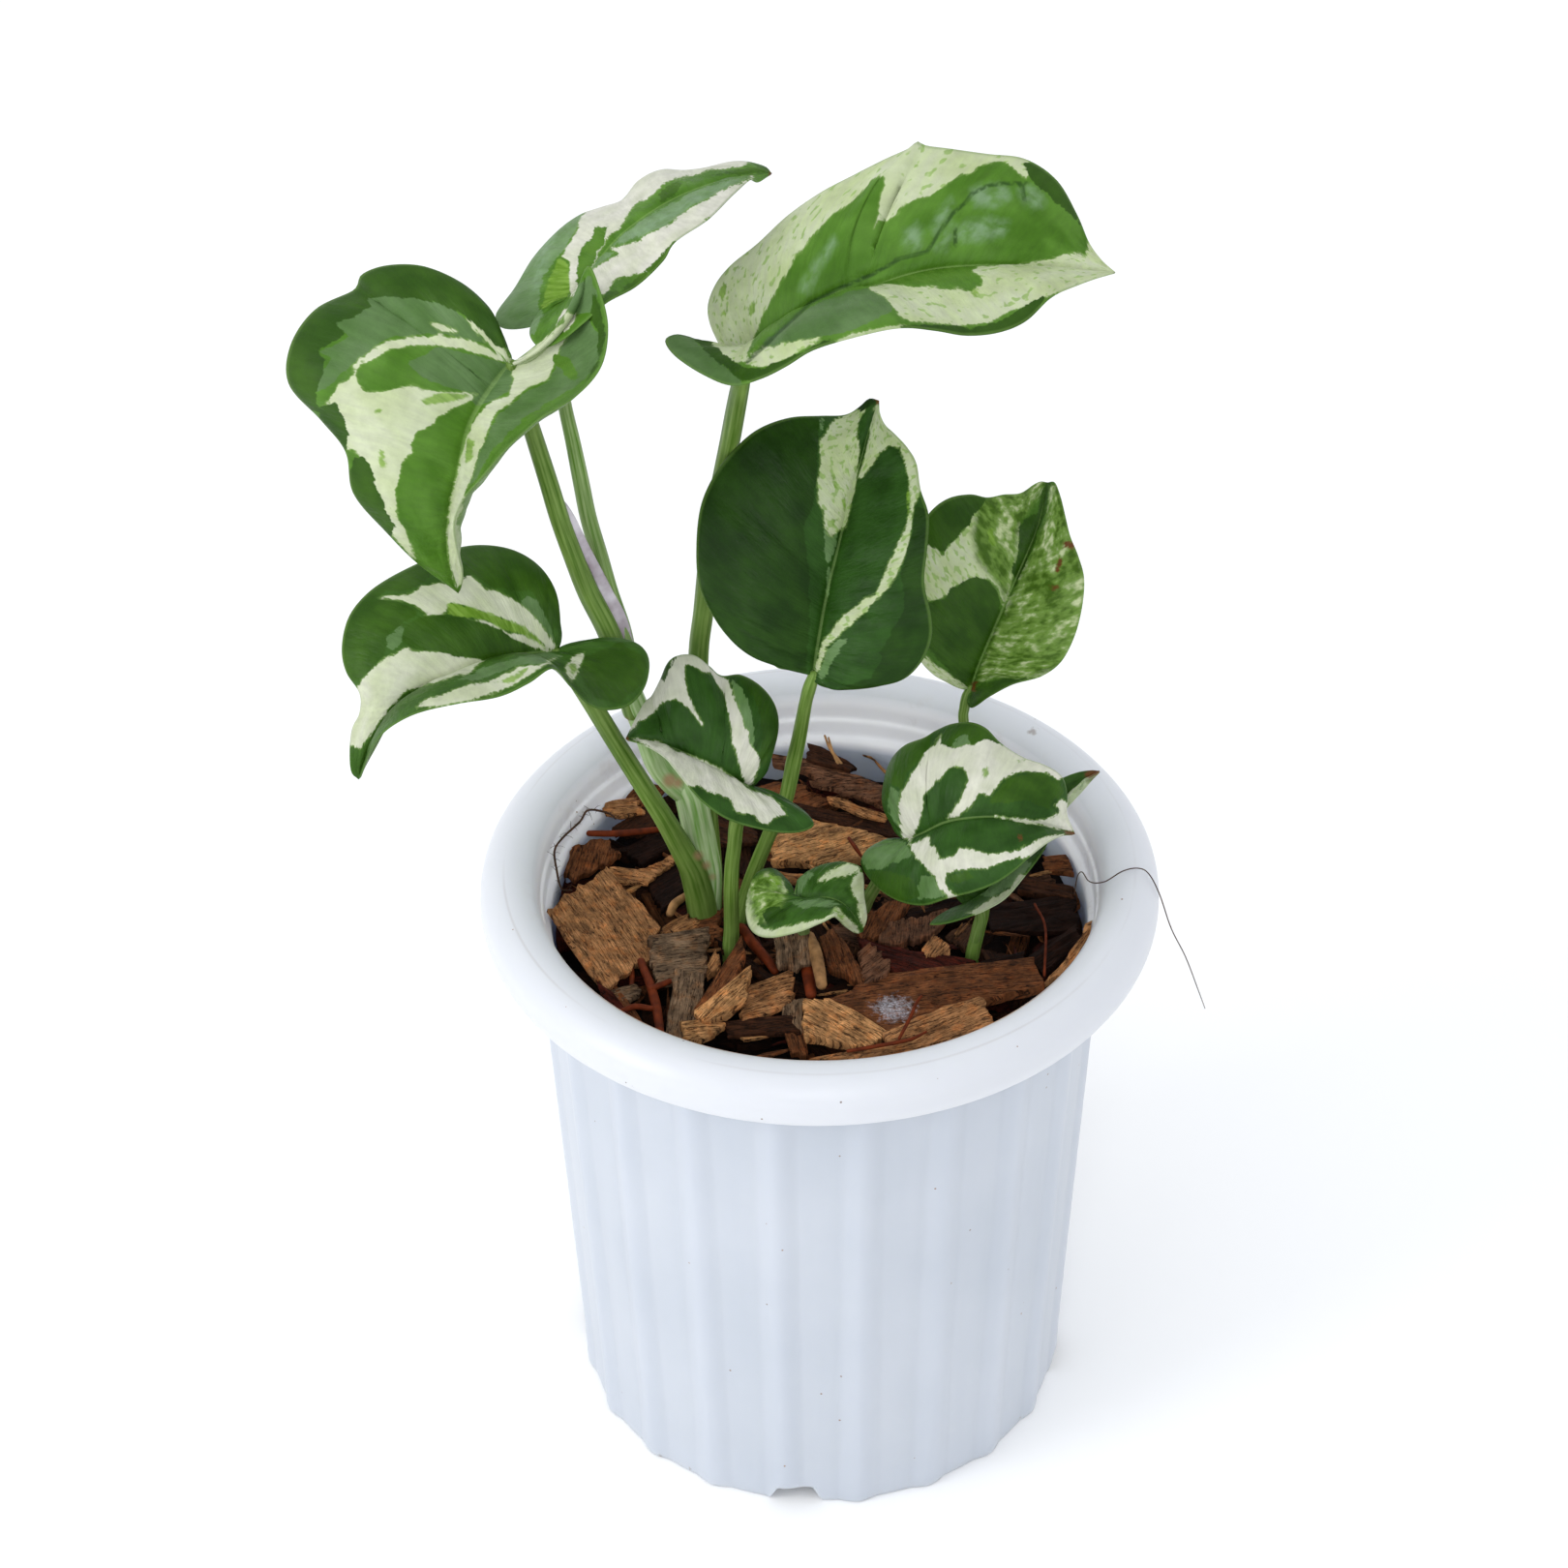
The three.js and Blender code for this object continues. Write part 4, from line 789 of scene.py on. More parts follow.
STALKS = {
    "stem_a": [
        (1, [[728, 1000, 7, 3.6], [728, 945, 7.5, 3.5], [731, 905, 7.5, 3.2], [726, 875, 8, 3.3], [719, 846, 8, 3.5],
                [713, 820, 8, 3.5], [708, 810, 8, 3.2]]),
        (0.8, [[716, 826, 8, 2.4], [702, 812, 8, 3.1], [690, 801, 8, 3], [679, 786, 8, 2.9], [668, 757, 7.5, 2.8],
                [656, 728, 7, 2.7], [650, 712, 7, 2.5]]),
        (0.1, [[656, 735, 7, 2.7], [642, 690, 7, 2.6], [628, 651, 6.5, 2.5], [608, 612, 6, 2.4], [592, 573, 5.5, 2.2],
               [578, 535, 5, 2.1], [566, 496, 4, 2], [554, 458, 2, 1.9], [545, 430, 0, 1.8], [535, 398, -2, 1.6],
               [528, 376, -4, 1.2]]),
        (0.3, [[656, 735, 8, 2.3], [650, 690, 8.5, 2.1], [643, 651, 9, 1.95], [630, 612, 10, 1.9], [619, 573, 11, 1.85],
               [608, 535, 12, 1.8], [600, 496, 12.5, 1.75], [592, 457, 13, 1.6], [583, 415, 13, 1.45],
               [580, 380, 13, 1.4], [582, 345, 12.5, 1.3], [590, 309, 12, 1]]),
        (0.1, [[733, 950, 9, 2.8], [735, 905, 9, 2.5], [732, 860, 11, 2.4], [727, 800, 14, 2.3], [722, 740, 15, 2.25],
               [722, 674, 16, 2.2], [727, 631, 16, 2.2], [732, 580, 16, 2.2], [738, 535, 17.5, 2.2],
               [746, 496, 19.5, 2.15], [754, 457, 19.5, 2.15], [761, 419, 15.5, 2.1], [766, 394, 11, 1.9],
               [771, 375, 8, 1.3]]),
        (0.1, [[727, 990, 5, 3.5], [726, 943, 5, 3.4], [718, 905, 4, 3.1], [707, 882, 3, 2.7], [685, 844, 1, 2.25],
               [660, 805, -1, 2.1], [636, 767, -3, 2.05], [612, 728, -4.5, 2], [597, 706, -5, 1.8],
               [584, 688, -5, 1.5], [574, 674, -5, 1.2]]),
    ],
    "stem_b": [(0.1, [[755, 1010, -8, 1.8], [755, 979, -8, 1.8], [756, 957, -8.5, 1.7], [755.5, 919, -9, 1.65],
                      [756.5, 893, -9.5, 1.6], [759, 872, -10, 1.55], [761, 851, -10.5, 1.6], [766, 832, -11.5, 1.5],
                      [771, 815, -12, 1.1]])],
    "stem_c": [(0.1, [[762, 990, 3, 1.9], [764, 955, 3, 1.8], [768, 936, 3, 1.75], [774, 915, 3, 1.7],
                      [782, 893, 2.5, 1.65], [790.5, 872, 2, 1.6], [797, 857, 2, 1.6], [805, 841, 1.5, 1.6],
                      [811.5, 827, 1, 1.6], [816, 808, 0.5, 1.65], [820, 787, 0, 1.7], [825, 765, -1.5, 1.6],
                      [829, 744, -4, 1.5], [833, 723, -7, 1.4], [836.5, 710, -9, 1.45], [841, 697, -10, 1.2]])],
    "stem_d": [(0.2, [[886, 990, 2, 1.7], [889, 950, 1, 1.6], [895, 932, 0, 1.5], [901, 921, -2, 1.45],
                      [912, 903, -5, 1.4], [925, 884, -9, 1.3], [938, 869, -12, 1]])],
    "stem_e": [
        (0.1, [[1002, 1010, -12, 1.6], [1005, 985, -11, 1.55], [1011, 960, -9, 1.5], [1016, 935, -7, 1.45],
               [1013, 880, -3, 1.5], [1008, 820, 4, 1.4], [1001, 780, 9, 1.3], [995.5, 744, 12, 1.15],
               [996.5, 731, 13, 1.15], [999, 720, 14, 1.2], [1003, 711, 15, 1]]),
        (0.2, [[1004, 986, -10, 1.2], [1010, 962, -10.5, 1.2], [1013, 948, -11, 1.1], [1010, 936, -11, 0.9]]),
    ],
    "stem_f": [(0.3, [[833, 1015, -8, 1.6], [832, 985, -9, 1.5], [830, 962, -12, 1.4], [827, 944, -15, 1.3],
                      [822, 930, -16, 1]])],
}
# Brown scars and dry sheath tips as [pixel across, pixel down, radius in pixels]
SCARS = [[692, 806, 8], [700, 809, 6], [722, 884, 5], [730, 894, 5], [736, 906, 4], [1011, 932, 4], [646, 746, 4]]

stalk_material, node, shader, link = new_material("stalk")
along_stalk = node("ShaderNodeUVMap", {"uv_map": "length"}).outputs["UV"]
place = node("ShaderNodeTexCoord").outputs["Object"]
lines = noise(stretched(along_stalk, (9, 0.05, 1)), 1, 3)
cloud = noise(place, 90, 3)
striped = ramp(lines, 0.3, 0.7)
skin = blend(held("pale"), blend(striped, srgb(68, 98, 24), srgb(110, 140, 50)),
             blend(striped, srgb(116, 172, 68), srgb(226, 244, 196)))
skin = times(skin, ramp(cloud, 0.3, 0.7, 0.7, 0.96))
browned = ramp(combined("MULTIPLY_ADD", cloud, 6, held("scar")), 1.5, 7, 0, 0.8)
link.new(blend(browned, skin, srgb(172, 132, 102)), shader.inputs["Base Color"])
shader.inputs["Roughness"].default_value = 0.42
shader.inputs["Specular IOR Level"].default_value = 0.16
relief(strength=0.35, depth=0.0005, height=lines)


def seen_at_depth(rows):
    """Points from rows of [pixel across, pixel down, millimetres behind the pot's axis]."""
    return seen(rows, 1)


def pixels_of(points):
    """The photograph pixels of points in metres: offsets along right and up over the depth ahead."""
    offset = points - EYE
    depth = offset @ AHEAD
    across = PHOTO_SIDE / 2 + PHOTO_FOCUS * (offset @ RIGHT) / depth
    down = PHOTO_SIDE / 2 - PHOTO_FOCUS * (offset @ UP) / depth
    return np.stack([across, down], -1)


for name, stalks in STALKS.items():
    grids, pales, lengths = [], [], []
    for pale_share, rows in stalks:
        grid = tube_grid(placed(rows, seen_at_depth), sides=32, rings=12 * len(rows), lobes=9, lobe_share=0.025)
        grids.append(grid)
        pales.append(np.full(grid.shape[:2], pale_share).ravel())
        run = run_along(grid.mean(1))
        turn = np.abs(np.linspace(-1, 1, grid.shape[1], endpoint=False))
        lengths.append(np.stack(np.broadcast_arrays(turn[None, :], run[:, None]), -1).reshape(-1, 2))
    points, faces = joined_grids(grids)
    stalk = mesh_object(name.replace("stem", "green_stalk"), points * MM, faces)
    pixels = pixels_of(points * MM)
    nearest = np.max([radius - np.linalg.norm(pixels - (x, y), axis=1) for x, y, radius in SCARS], axis=0)
    store(stalk, "pale", np.concatenate(pales))
    store(stalk, "scar", nearest)
    store_spread(stalk, "length", np.vstack(lengths))
    join_doubles(stalk)
    stalk.data.materials.append(stalk_material)
    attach(stalk, "root")
    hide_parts(name)

# The dry sheath along the stalk of the left leaf: a thin papery wing between two edges, [pixel across, pixel down, mm
# behind the pot's axis]
SHEATH_INNER = [[572, 508, 5], [586, 535, 5.2], [602, 573, 5.6], [620, 612, 6.2], [638, 648, 6.8], [650, 690, 7]]
SHEATH_OUTER = [[575, 506, 6], [593, 533, 6], [613, 572, 6.5], [633, 611, 7.2], [648, 640, 7.8], [660, 690, 8]]
SHEATH_THICKNESS = 0.25
SHEATH_WAVE = 0.25
share = np.linspace(0, 1, 60)
step = np.linspace(0, 1, 8)[None, :, None]
inner_edge, outer_edge = (through(seen_at_depth(rows), share)[:, None] / MM for rows in (SHEATH_INNER, SHEATH_OUTER))
backwards = np.array([0, 1, 0])
wave = SHEATH_WAVE * value_noise(share[:, None] * 14, step[..., 0] * 3, 4)[..., None] * backwards
sheet = inner_edge * (1 - step) + outer_edge * step + wave
half = SHEATH_THICKNESS / 2 * backwards
ring = np.concatenate([sheet - half, (sheet + half)[:, ::-1]], axis=1)
ends = np.repeat(ring[[0, -1]].mean(1, keepdims=True), ring.shape[1], axis=1)
ring = np.concatenate([ends[:1], ring, ends[1:]])
sheath = mesh_object("dry_sheath", ring * MM, ring_faces(*ring.shape[:2]))
join_doubles(sheath)

sheath_material, node, shader, link = new_material("dry_sheath")
place = node("ShaderNodeTexCoord").outputs["Object"]
papery = ramp(noise(place, 160, 4), 0.35, 0.65)
link.new(blend(papery, srgb(140, 124, 134), srgb(204, 198, 206)), shader.inputs["Base Color"])
shader.inputs["Roughness"].default_value = 0.6
sheath.data.materials.append(sheath_material)
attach(sheath, "root")


# The leaves
# Thin heart-shaped blades, each from a smooth midrib and the two margins round it. Their white, grey-green and dark
# patches have ragged edges that follow the veins.

BLADE_THICKNESS = 0.6
RIBS = 140  # steps from the notch at the stalk to the tip
STEPS = 30  # steps from the midrib to the margin
STEP_CROWDING = 1.25  # above 1, the steps lie closer together near the midrib
PIXELS_PER_MM = 4.74
FAR = 99.0  # millimetres from any patch or line that a leaf doesn't have
PATCH_KINDS = ("cream", "pale", "marble", "lime", "green", "deep", "rust", "sheen")
# For each leaf: midrib, left and right margin, as [pixel across, pixel down, mm behind the pot's axis]; cup, how far
# each half is hollowed; bow, how far the veins of each basal lobe bend towards the tip; fleck, how many green flecks
# its cream has; tones, how bright its green, its dark and its pale patches are. Then the patches, as outlines of
# (pixel across, pixel down): cream; pale, a grey-green, partly real and partly painted sheen; marble, cream and
# greens finely mixed; lime, bright spots; green; deep, the dark green; rust, brown marks; sheen, a painted highlight
# where the blade shines. A crease is an open line of pixels, along which painted shade darkens the blade.

LEAVES = {}
LEAVES["leaf_1"] = dict(
    midrib=[[528, 374, -4], [510, 397, -6], [495, 420, -9], [483, 446, -11], [475, 480, -13], [467, 515, -14],
            [462, 550, -13], [464, 582, -11], [474, 612, -6]],
    left=[[528, 374, -4], [542, 370, -3], [562, 358, -2], [583, 336, -1], [598, 300, 0], [609, 275, -1],
          [621, 300, -5], [629, 338, -11], [621, 378, -20], [594, 408, -27], [556, 431, -32], [521, 464, -36],
          [497, 494, -37], [479, 517, -35], [470, 542, -29], [472, 572, -20], [477, 598, -11], [474, 612, -6]],
    right=[[528, 374, -4], [521, 350, -1], [505, 318, 4], [478, 292, 8], [440, 275, 12], [402, 274, 15],
           [375, 284, 15.5], [366, 301, 15], [326, 322, 12], [301, 358, 7], [299, 398, 2], [332, 436, -3],
           [357, 468, -7], [366, 510, -10], [400, 548, -11], [436, 584, -9], [474, 612, -6]],
    cup=(-0.25, 0.22), bow=(0.4, 0), fleck=0.35, tones=(0.95, 0.5, 0.25),
    cream=[[(528, 375), (505, 368), (480, 361), (455, 356), (430, 357), (405, 361), (385, 371), (368, 382),
            (363, 379), (380, 367), (393, 358), (400, 352), (425, 350), (445, 347), (465, 349), (485, 352), (505, 360)],
           [(530, 376), (520, 360), (507, 345), (494, 333), (481, 327), (491, 341), (507, 358)],
           [(438, 331), (456, 335), (472, 342), (455, 342)],
           [(369, 384), (371, 395), (378, 405), (395, 406), (412, 400), (430, 398), (440, 404), (462, 405),
            (494, 406), (486, 414), (470, 420), (455, 428), (448, 437), (432, 445), (424, 458), (426, 465),
            (416, 475), (413, 495), (409, 505), (410, 530), (420, 552), (431, 574), (422, 568), (404, 545),
            (394, 530), (386, 512), (383, 490), (376, 475), (366, 465), (358, 462), (356, 440), (350, 425),
            (343, 418), (331, 428), (334, 418), (345, 410), (350, 398), (362, 393)],
           [(528, 376), (545, 365), (562, 352), (576, 340), (588, 322), (597, 325), (588, 345), (576, 364),
            (572, 378), (568, 392), (552, 398), (540, 405), (530, 415), (515, 425), (505, 445), (498, 465),
            (488, 495), (480, 516), (472, 540), (475, 565), (482, 600), (472, 606), (464, 580), (462, 548),
            (465, 520), (471, 495), (477, 470), (484, 447), (495, 428), (512, 414), (528, 409), (531, 392)]],
    pale=[[(375, 305), (400, 303), (420, 302), (440, 307), (465, 316), (480, 328), (508, 355), (490, 352), (460, 345),
           (430, 346), (400, 351), (385, 362), (372, 372), (355, 385), (340, 400), (323, 405), (327, 392), (337, 380),
           (345, 370), (331, 364), (347, 355), (361, 348), (343, 336), (366, 325), (378, 316)],
          [(455, 358), (505, 370), (530, 378), (531, 402), (510, 415), (492, 420), (478, 404), (440, 392), (420, 375)],
          [(576, 343), (600, 292), (612, 283), (619, 305), (610, 330), (621, 345), (622, 370), (605, 392), (575, 410),
           (545, 430), (515, 460), (490, 500), (484, 503), (497, 465), (515, 430), (540, 408), (566, 396), (580, 372)]],
    lime=[[(434, 413), (458, 405), (488, 408), (465, 415), (440, 418)],
          [(391, 462), (397, 463), (398, 484), (392, 480)],
          [(483, 453), (490, 456), (489, 475), (483, 478)], [(386, 424), (396, 420), (392, 428)]],
    green=[[(571, 372), (574, 366), (590, 372), (600, 390), (590, 394)]],
    deep=[[(362, 300), (380, 276), (408, 262), (447, 264), (488, 283), (515, 310), (538, 362), (512, 357), (492, 337),
           (478, 325), (458, 316), (430, 308), (400, 307), (376, 310)],
          [(310, 318), (340, 300), (372, 298), (384, 318), (368, 328), (348, 336), (360, 346), (344, 357), (328, 362),
           (338, 374), (332, 392), (326, 407), (332, 424), (316, 426), (288, 404), (286, 365), (296, 340)],
          [(328, 420), (338, 417), (348, 416), (354, 430), (361, 450), (355, 466), (345, 466), (332, 450)],
          [(358, 488), (366, 474), (375, 472), (385, 484), (387, 500), (395, 518), (408, 542), (402, 556), (374, 536),
           (360, 512)],
          [(615, 300), (626, 330), (628, 350), (618, 380), (605, 395), (620, 370), (621, 345), (610, 330)]],
)
LEAVES["leaf_2"] = dict(
    midrib=[[590, 308, 12], [612, 277, 16], [641, 243, 20], [680, 214, 26], [726, 192, 33], [770, 181, 40],
            [797, 180, 44]],
    left=[[590, 308, 12], [572, 325, 11], [545, 337, 11], [520, 338, 13], [513, 325, 16], [531, 297, 21],
          [550, 266, 27], [576, 240, 32], [600, 224, 36], [622, 216, 38], [643, 208, 40], [660, 186, 43],
          [684, 174, 45], [716, 175, 46], [758, 168, 47], [788, 172, 46], [797, 180, 44]],
    right=[[590, 308, 12], [568, 312, 10], [551, 330, 6], [548, 346, 1], [560, 359, -3], [582, 352, -6],
           [606, 332, -6], [627, 312, -4], [657, 294, 2], [684, 269, 8], [697, 250, 11], [731, 228, 18],
           [757, 201, 28], [775, 184, 36], [784, 187, 39], [797, 180, 44]],
    cup=(0.15, 0.1), fleck=0.0, tones=(1, 0.9, 0.75),
    cream=[[(606, 221), (625, 213), (645, 205), (655, 190), (662, 182), (684, 170), (720, 172), (760, 164),
            (776, 168), (766, 174), (750, 175), (735, 178), (715, 182), (695, 186), (680, 195), (672, 203),
            (660, 210), (650, 220), (640, 236), (632, 242), (625, 252), (618, 264), (611, 278), (602, 293),
            (592, 308), (589, 300), (588, 285), (590, 272), (582, 266), (588, 255), (596, 243), (600, 232)],
           [(612, 281), (640, 263), (632, 258), (650, 254), (670, 243), (690, 235), (705, 222), (725, 212),
            (745, 200), (765, 190), (777, 183), (777, 187), (757, 204), (737, 224), (715, 242), (697, 252),
            (690, 264), (672, 276), (668, 280), (650, 285), (635, 290), (628, 300), (622, 306), (612, 296)],
           [(577, 341), (578, 330), (584, 322), (594, 317), (600, 316), (596, 330), (586, 344)]],
    pale=[[(505, 344), (508, 326), (530, 294), (550, 262), (575, 236), (600, 222), (606, 228), (590, 248), (583, 262),
           (570, 275), (562, 285), (558, 300), (557, 318), (562, 326), (552, 346), (530, 346)],
          [(630, 255), (650, 238), (680, 219), (720, 198), (760, 186), (777, 183), (765, 190), (745, 200), (725, 210),
           (700, 225), (690, 234), (665, 243), (645, 252)],
          [(612, 275), (622, 262), (636, 262), (625, 270), (612, 283)]],
    lime=[[(560, 318), (564, 302), (569, 286), (577, 267), (587, 271), (589, 290), (588, 306), (574, 311), (565, 318)]],
    green=[[(618, 236), (628, 235), (626, 250), (618, 262), (612, 275), (606, 287), (599, 300), (596, 290),
            (598, 268), (600, 262), (605, 252), (612, 246)]],
    deep=[[(620, 316), (628, 303), (641, 301), (655, 289), (668, 280), (668, 290), (642, 310)],
          [(668, 279), (680, 265), (697, 249), (702, 252), (685, 272), (672, 283)],
          [(680, 202), (690, 192), (706, 190), (700, 200), (684, 210)],
          [(735, 183), (760, 177), (792, 172), (799, 180), (760, 181)]],
    rust=[[(794, 178), (799, 179), (799, 182), (794, 182)]],
    sheen=[[(571, 240), (574, 246), (563, 270), (556, 300), (551, 300), (554, 275), (562, 255)],
           [(640, 247), (670, 232), (720, 204), (752, 190), (755, 193), (724, 209), (674, 238), (642, 252)]],
)
LEAVES["leaf_3"] = dict(
    midrib=[[771, 374, 8], [788, 352, 9], [820, 325, 10], [862, 304, 11], [900, 297, 12], [935, 285, 12],
            [975, 277, 13], [1030, 274, 14], [1090, 276, 16], [1152, 282, 18]],
    left=[[771, 374, 8], [754, 369, 10], [741, 350, 13], [731, 322, 17], [737, 297, 21], [754, 274, 25],
          [783, 251, 28], [814, 224, 31], [850, 200, 34], [882, 183, 36], [915, 165, 37], [939, 153, 37],
          [947, 146, 37], [956, 150, 37], [980, 153, 36], [1020, 159, 35], [1058, 165, 34], [1090, 187, 31],
          [1111, 222, 27], [1124, 250, 23], [1137, 268, 20], [1152, 282, 18]],
    right=[[771, 374, 8], [748, 370, 6], [722, 352, 4], [701, 347, 3], [688, 353, 0], [699, 369, -4], [728, 387, -8],
           [757, 397, -11], [785, 390, -13], [812, 377, -14], [840, 361, -15], [882, 349, -15], [928, 340, -14],
           [965, 342, -12], [998, 346, -10], [1032, 342, -7], [1060, 330, -3], [1086, 306, 3], [1114, 294, 10],
           [1152, 282, 18]],
    cup=(0.2, 0.25), fleck=0.8, tones=(1, 0.45, 0.2),
    cream=[[(771, 374), (779, 350), (789, 325), (801, 303), (813, 283), (825, 262), (841, 243), (862, 222),
            (880, 208), (893, 196), (904, 185), (918, 181), (914, 195), (906, 213), (909, 220), (903, 237),
            (915, 229), (925, 222), (932, 212), (945, 206), (960, 203), (970, 196), (982, 190), (993, 180),
            (1003, 180), (1010, 172), (1025, 168), (1040, 168), (1050, 178), (1060, 185), (1064, 176), (1060, 160),
            (1010, 150), (950, 138), (940, 145), (880, 175), (808, 220), (748, 268), (722, 310), (724, 350),
            (745, 374)],
           [(1124, 246), (1122, 265), (1110, 262), (1098, 264), (1085, 268), (1068, 270), (1050, 274), (1010, 277),
            (1004, 280), (1012, 285), (1015, 295), (1003, 303), (990, 299), (975, 300), (960, 298), (945, 298),
            (930, 297), (915, 296), (900, 298), (898, 300), (912, 307), (920, 315), (925, 322), (930, 331),
            (945, 334), (975, 336), (1000, 337), (1025, 332), (1045, 322), (1060, 316), (1075, 308), (1095, 302),
            (1156, 286), (1140, 262)],
           [(770, 376), (774, 370), (781, 363), (788, 356), (799, 359), (812, 354), (834, 353), (852, 349),
            (835, 359), (812, 370), (790, 378), (776, 379)],
           [(846, 359), (880, 347), (920, 338), (946, 337), (930, 344), (900, 352), (865, 358)]],
    pale=[[(775, 370), (790, 352), (805, 338), (825, 325), (850, 312), (880, 302), (897, 299), (910, 307), (920, 315),
           (922, 325), (900, 335), (875, 343), (850, 349), (820, 355), (800, 358), (790, 362)],
          [(680, 340), (704, 342), (716, 350), (728, 363), (742, 374), (756, 383), (766, 391), (762, 404), (725, 398),
           (680, 368)]],
    lime=[[(742, 303), (748, 290), (752, 296), (746, 312)], [(745, 325), (752, 316), (750, 330)],
          [(775, 318), (784, 306), (781, 322), (775, 328)], [(1003, 300), (1010, 300), (1012, 307), (1004, 306)],
          [(945, 170), (951, 166), (950, 172)], [(956, 164), (966, 163), (966, 167)]],
    green=[[(905, 290), (925, 284), (950, 279), (975, 277), (999, 279), (1004, 287), (990, 294), (975, 292),
            (960, 296), (945, 294), (925, 292)]],
    deep=[[(1056, 168), (1075, 174), (1094, 188), (1110, 213), (1118, 238), (1097, 216), (1080, 201), (1066, 190)],
          [(920, 337), (975, 338), (1005, 339), (1030, 333), (1050, 321), (1063, 314), (1080, 306), (1062, 336),
           (1030, 350), (990, 352), (945, 344)],
          [(704, 342), (718, 346), (735, 357), (750, 369), (762, 377), (772, 380), (790, 380), (812, 371), (835, 360),
           (860, 350), (868, 352), (840, 367), (815, 384), (790, 394), (768, 394), (754, 384), (740, 374), (726, 363),
           (714, 350)]],
    sheen=[[(1003, 196), (1014, 191), (1038, 193), (1042, 206), (1030, 214), (1008, 213)],
           [(988, 238), (1000, 229), (1020, 226), (1041, 230), (1036, 243), (1010, 250), (990, 248)],
           [(933, 251), (936, 238), (946, 231), (952, 238), (949, 256), (938, 260)],
           [(963, 234), (972, 216), (982, 206), (985, 214), (976, 230), (966, 240)],
           [(966, 257), (974, 243), (984, 231), (983, 244), (976, 258), (968, 262)],
           [(1053, 196), (1064, 193), (1077, 204), (1078, 214), (1066, 216), (1056, 210)],
           [(826, 300), (840, 276), (856, 254), (862, 246), (864, 252), (848, 276), (834, 302)]],
    crease=[[(926, 268), (947, 263), (958, 260), (972, 238), (985, 220), (998, 209), (1004, 200), (1020, 192),
             (1036, 190), (1061, 190)], [(987, 236), (987, 254)], [(1056, 193), (1058, 208)],
            [(772, 374), (800, 345), (838, 312), (866, 298), (900, 284), (926, 270)]],
)
LEAVES["leaf_4"] = dict(
    midrib=[[840, 697, -10], [846, 660, -5], [855, 612, 1], [867, 562, 7], [879, 512, 14], [889, 477, 18],
            [897, 447, 22], [903, 427, 26], [908, 414, 28]],
    left=[[840, 697, -10], [833, 694, -10], [822, 691, -10], [800, 688, -10], [776, 678, -9], [755, 660, -7],
          [738, 636, -4], [723, 602, 0], [720, 560, 5], [724, 525, 9], [737, 494, 14], [756, 469, 17], [782, 446, 20],
          [815, 433, 23], [848, 430, 24], [874, 428, 26], [888, 420, 27], [898, 412, 28], [908, 414, 28]],
    right=[[840, 697, -10], [845, 706, -11], [858, 710, -12], [882, 712, -14], [907, 710, -15], [932, 703, -16],
           [951, 684, -15], [961, 660, -13], [961, 636, -11], [954, 602, -6], [957, 565, -1], [958, 532, 4],
           [950, 506, 9], [946, 480, 14], [937, 464, 17], [925, 451, 20], [914, 440, 23], [909, 427, 26],
           [908, 414, 28]],
    cup=(0.2, 0.16), fleck=0.95, tones=(0.12, 0.12, 0.5),
    cream=[[(892, 420), (878, 427), (862, 433), (853, 447), (847, 455), (847, 480), (844, 500), (845, 515),
            (851, 528), (851, 545), (858, 555), (864, 548), (874, 545), (877, 530), (882, 515), (884, 500),
            (886, 480), (888, 465), (885, 450), (886, 436), (893, 426)],
           [(905, 414), (912, 428), (918, 440), (932, 452), (944, 467), (950, 485), (952, 505), (946, 517),
            (942, 535), (942, 550), (936, 570), (929, 590), (920, 605), (905, 621), (890, 636), (870, 654),
            (860, 664), (854, 670), (848, 690), (841, 698), (845, 680), (852, 660), (862, 650), (872, 637),
            (890, 622), (905, 615), (913, 600), (917, 585), (930, 560), (938, 540), (940, 515), (938, 495),
            (936, 475), (930, 463), (920, 461), (910, 468), (900, 482), (890, 494), (888, 490), (894, 472),
            (899, 450), (902, 430)]],
    pale=[[(850, 542), (858, 556), (864, 550), (863, 568), (857, 580), (858, 600), (856, 622), (853, 610), (855, 585),
           (851, 565)],
          [(846, 697), (855, 672), (867, 660), (878, 659), (870, 668), (865, 678), (858, 686), (856, 696), (850, 703)],
          [(846, 429), (851, 431), (851, 444), (848, 452)]],
    lime=[[(859, 489), (862, 492), (866, 508), (861, 502)], [(868, 516), (873, 510), (875, 522), (871, 530)],
          [(873, 462), (877, 460), (878, 468), (874, 466)], [(858, 535), (866, 536), (860, 545)],
          [(936, 505), (941, 508), (941, 525), (938, 535)]],
    deep=[[(716, 560), (735, 490), (780, 440), (830, 426), (846, 430), (845, 470), (840, 520), (830, 545), (835, 590),
           (836, 640), (832, 695), (800, 694), (755, 668), (728, 630)],
          [(946, 518), (962, 530), (962, 570), (958, 610), (966, 640), (962, 685), (937, 708), (900, 716), (860, 712),
           (880, 706), (900, 700), (906, 690), (912, 682), (908, 675), (918, 660), (923, 650), (934, 632), (935, 615),
           (931, 592), (940, 560)],
          [(886, 424), (898, 408), (910, 412), (903, 420), (896, 420), (888, 426)]],
    rust=[[(903, 411), (912, 408), (912, 418), (905, 417)]],
)
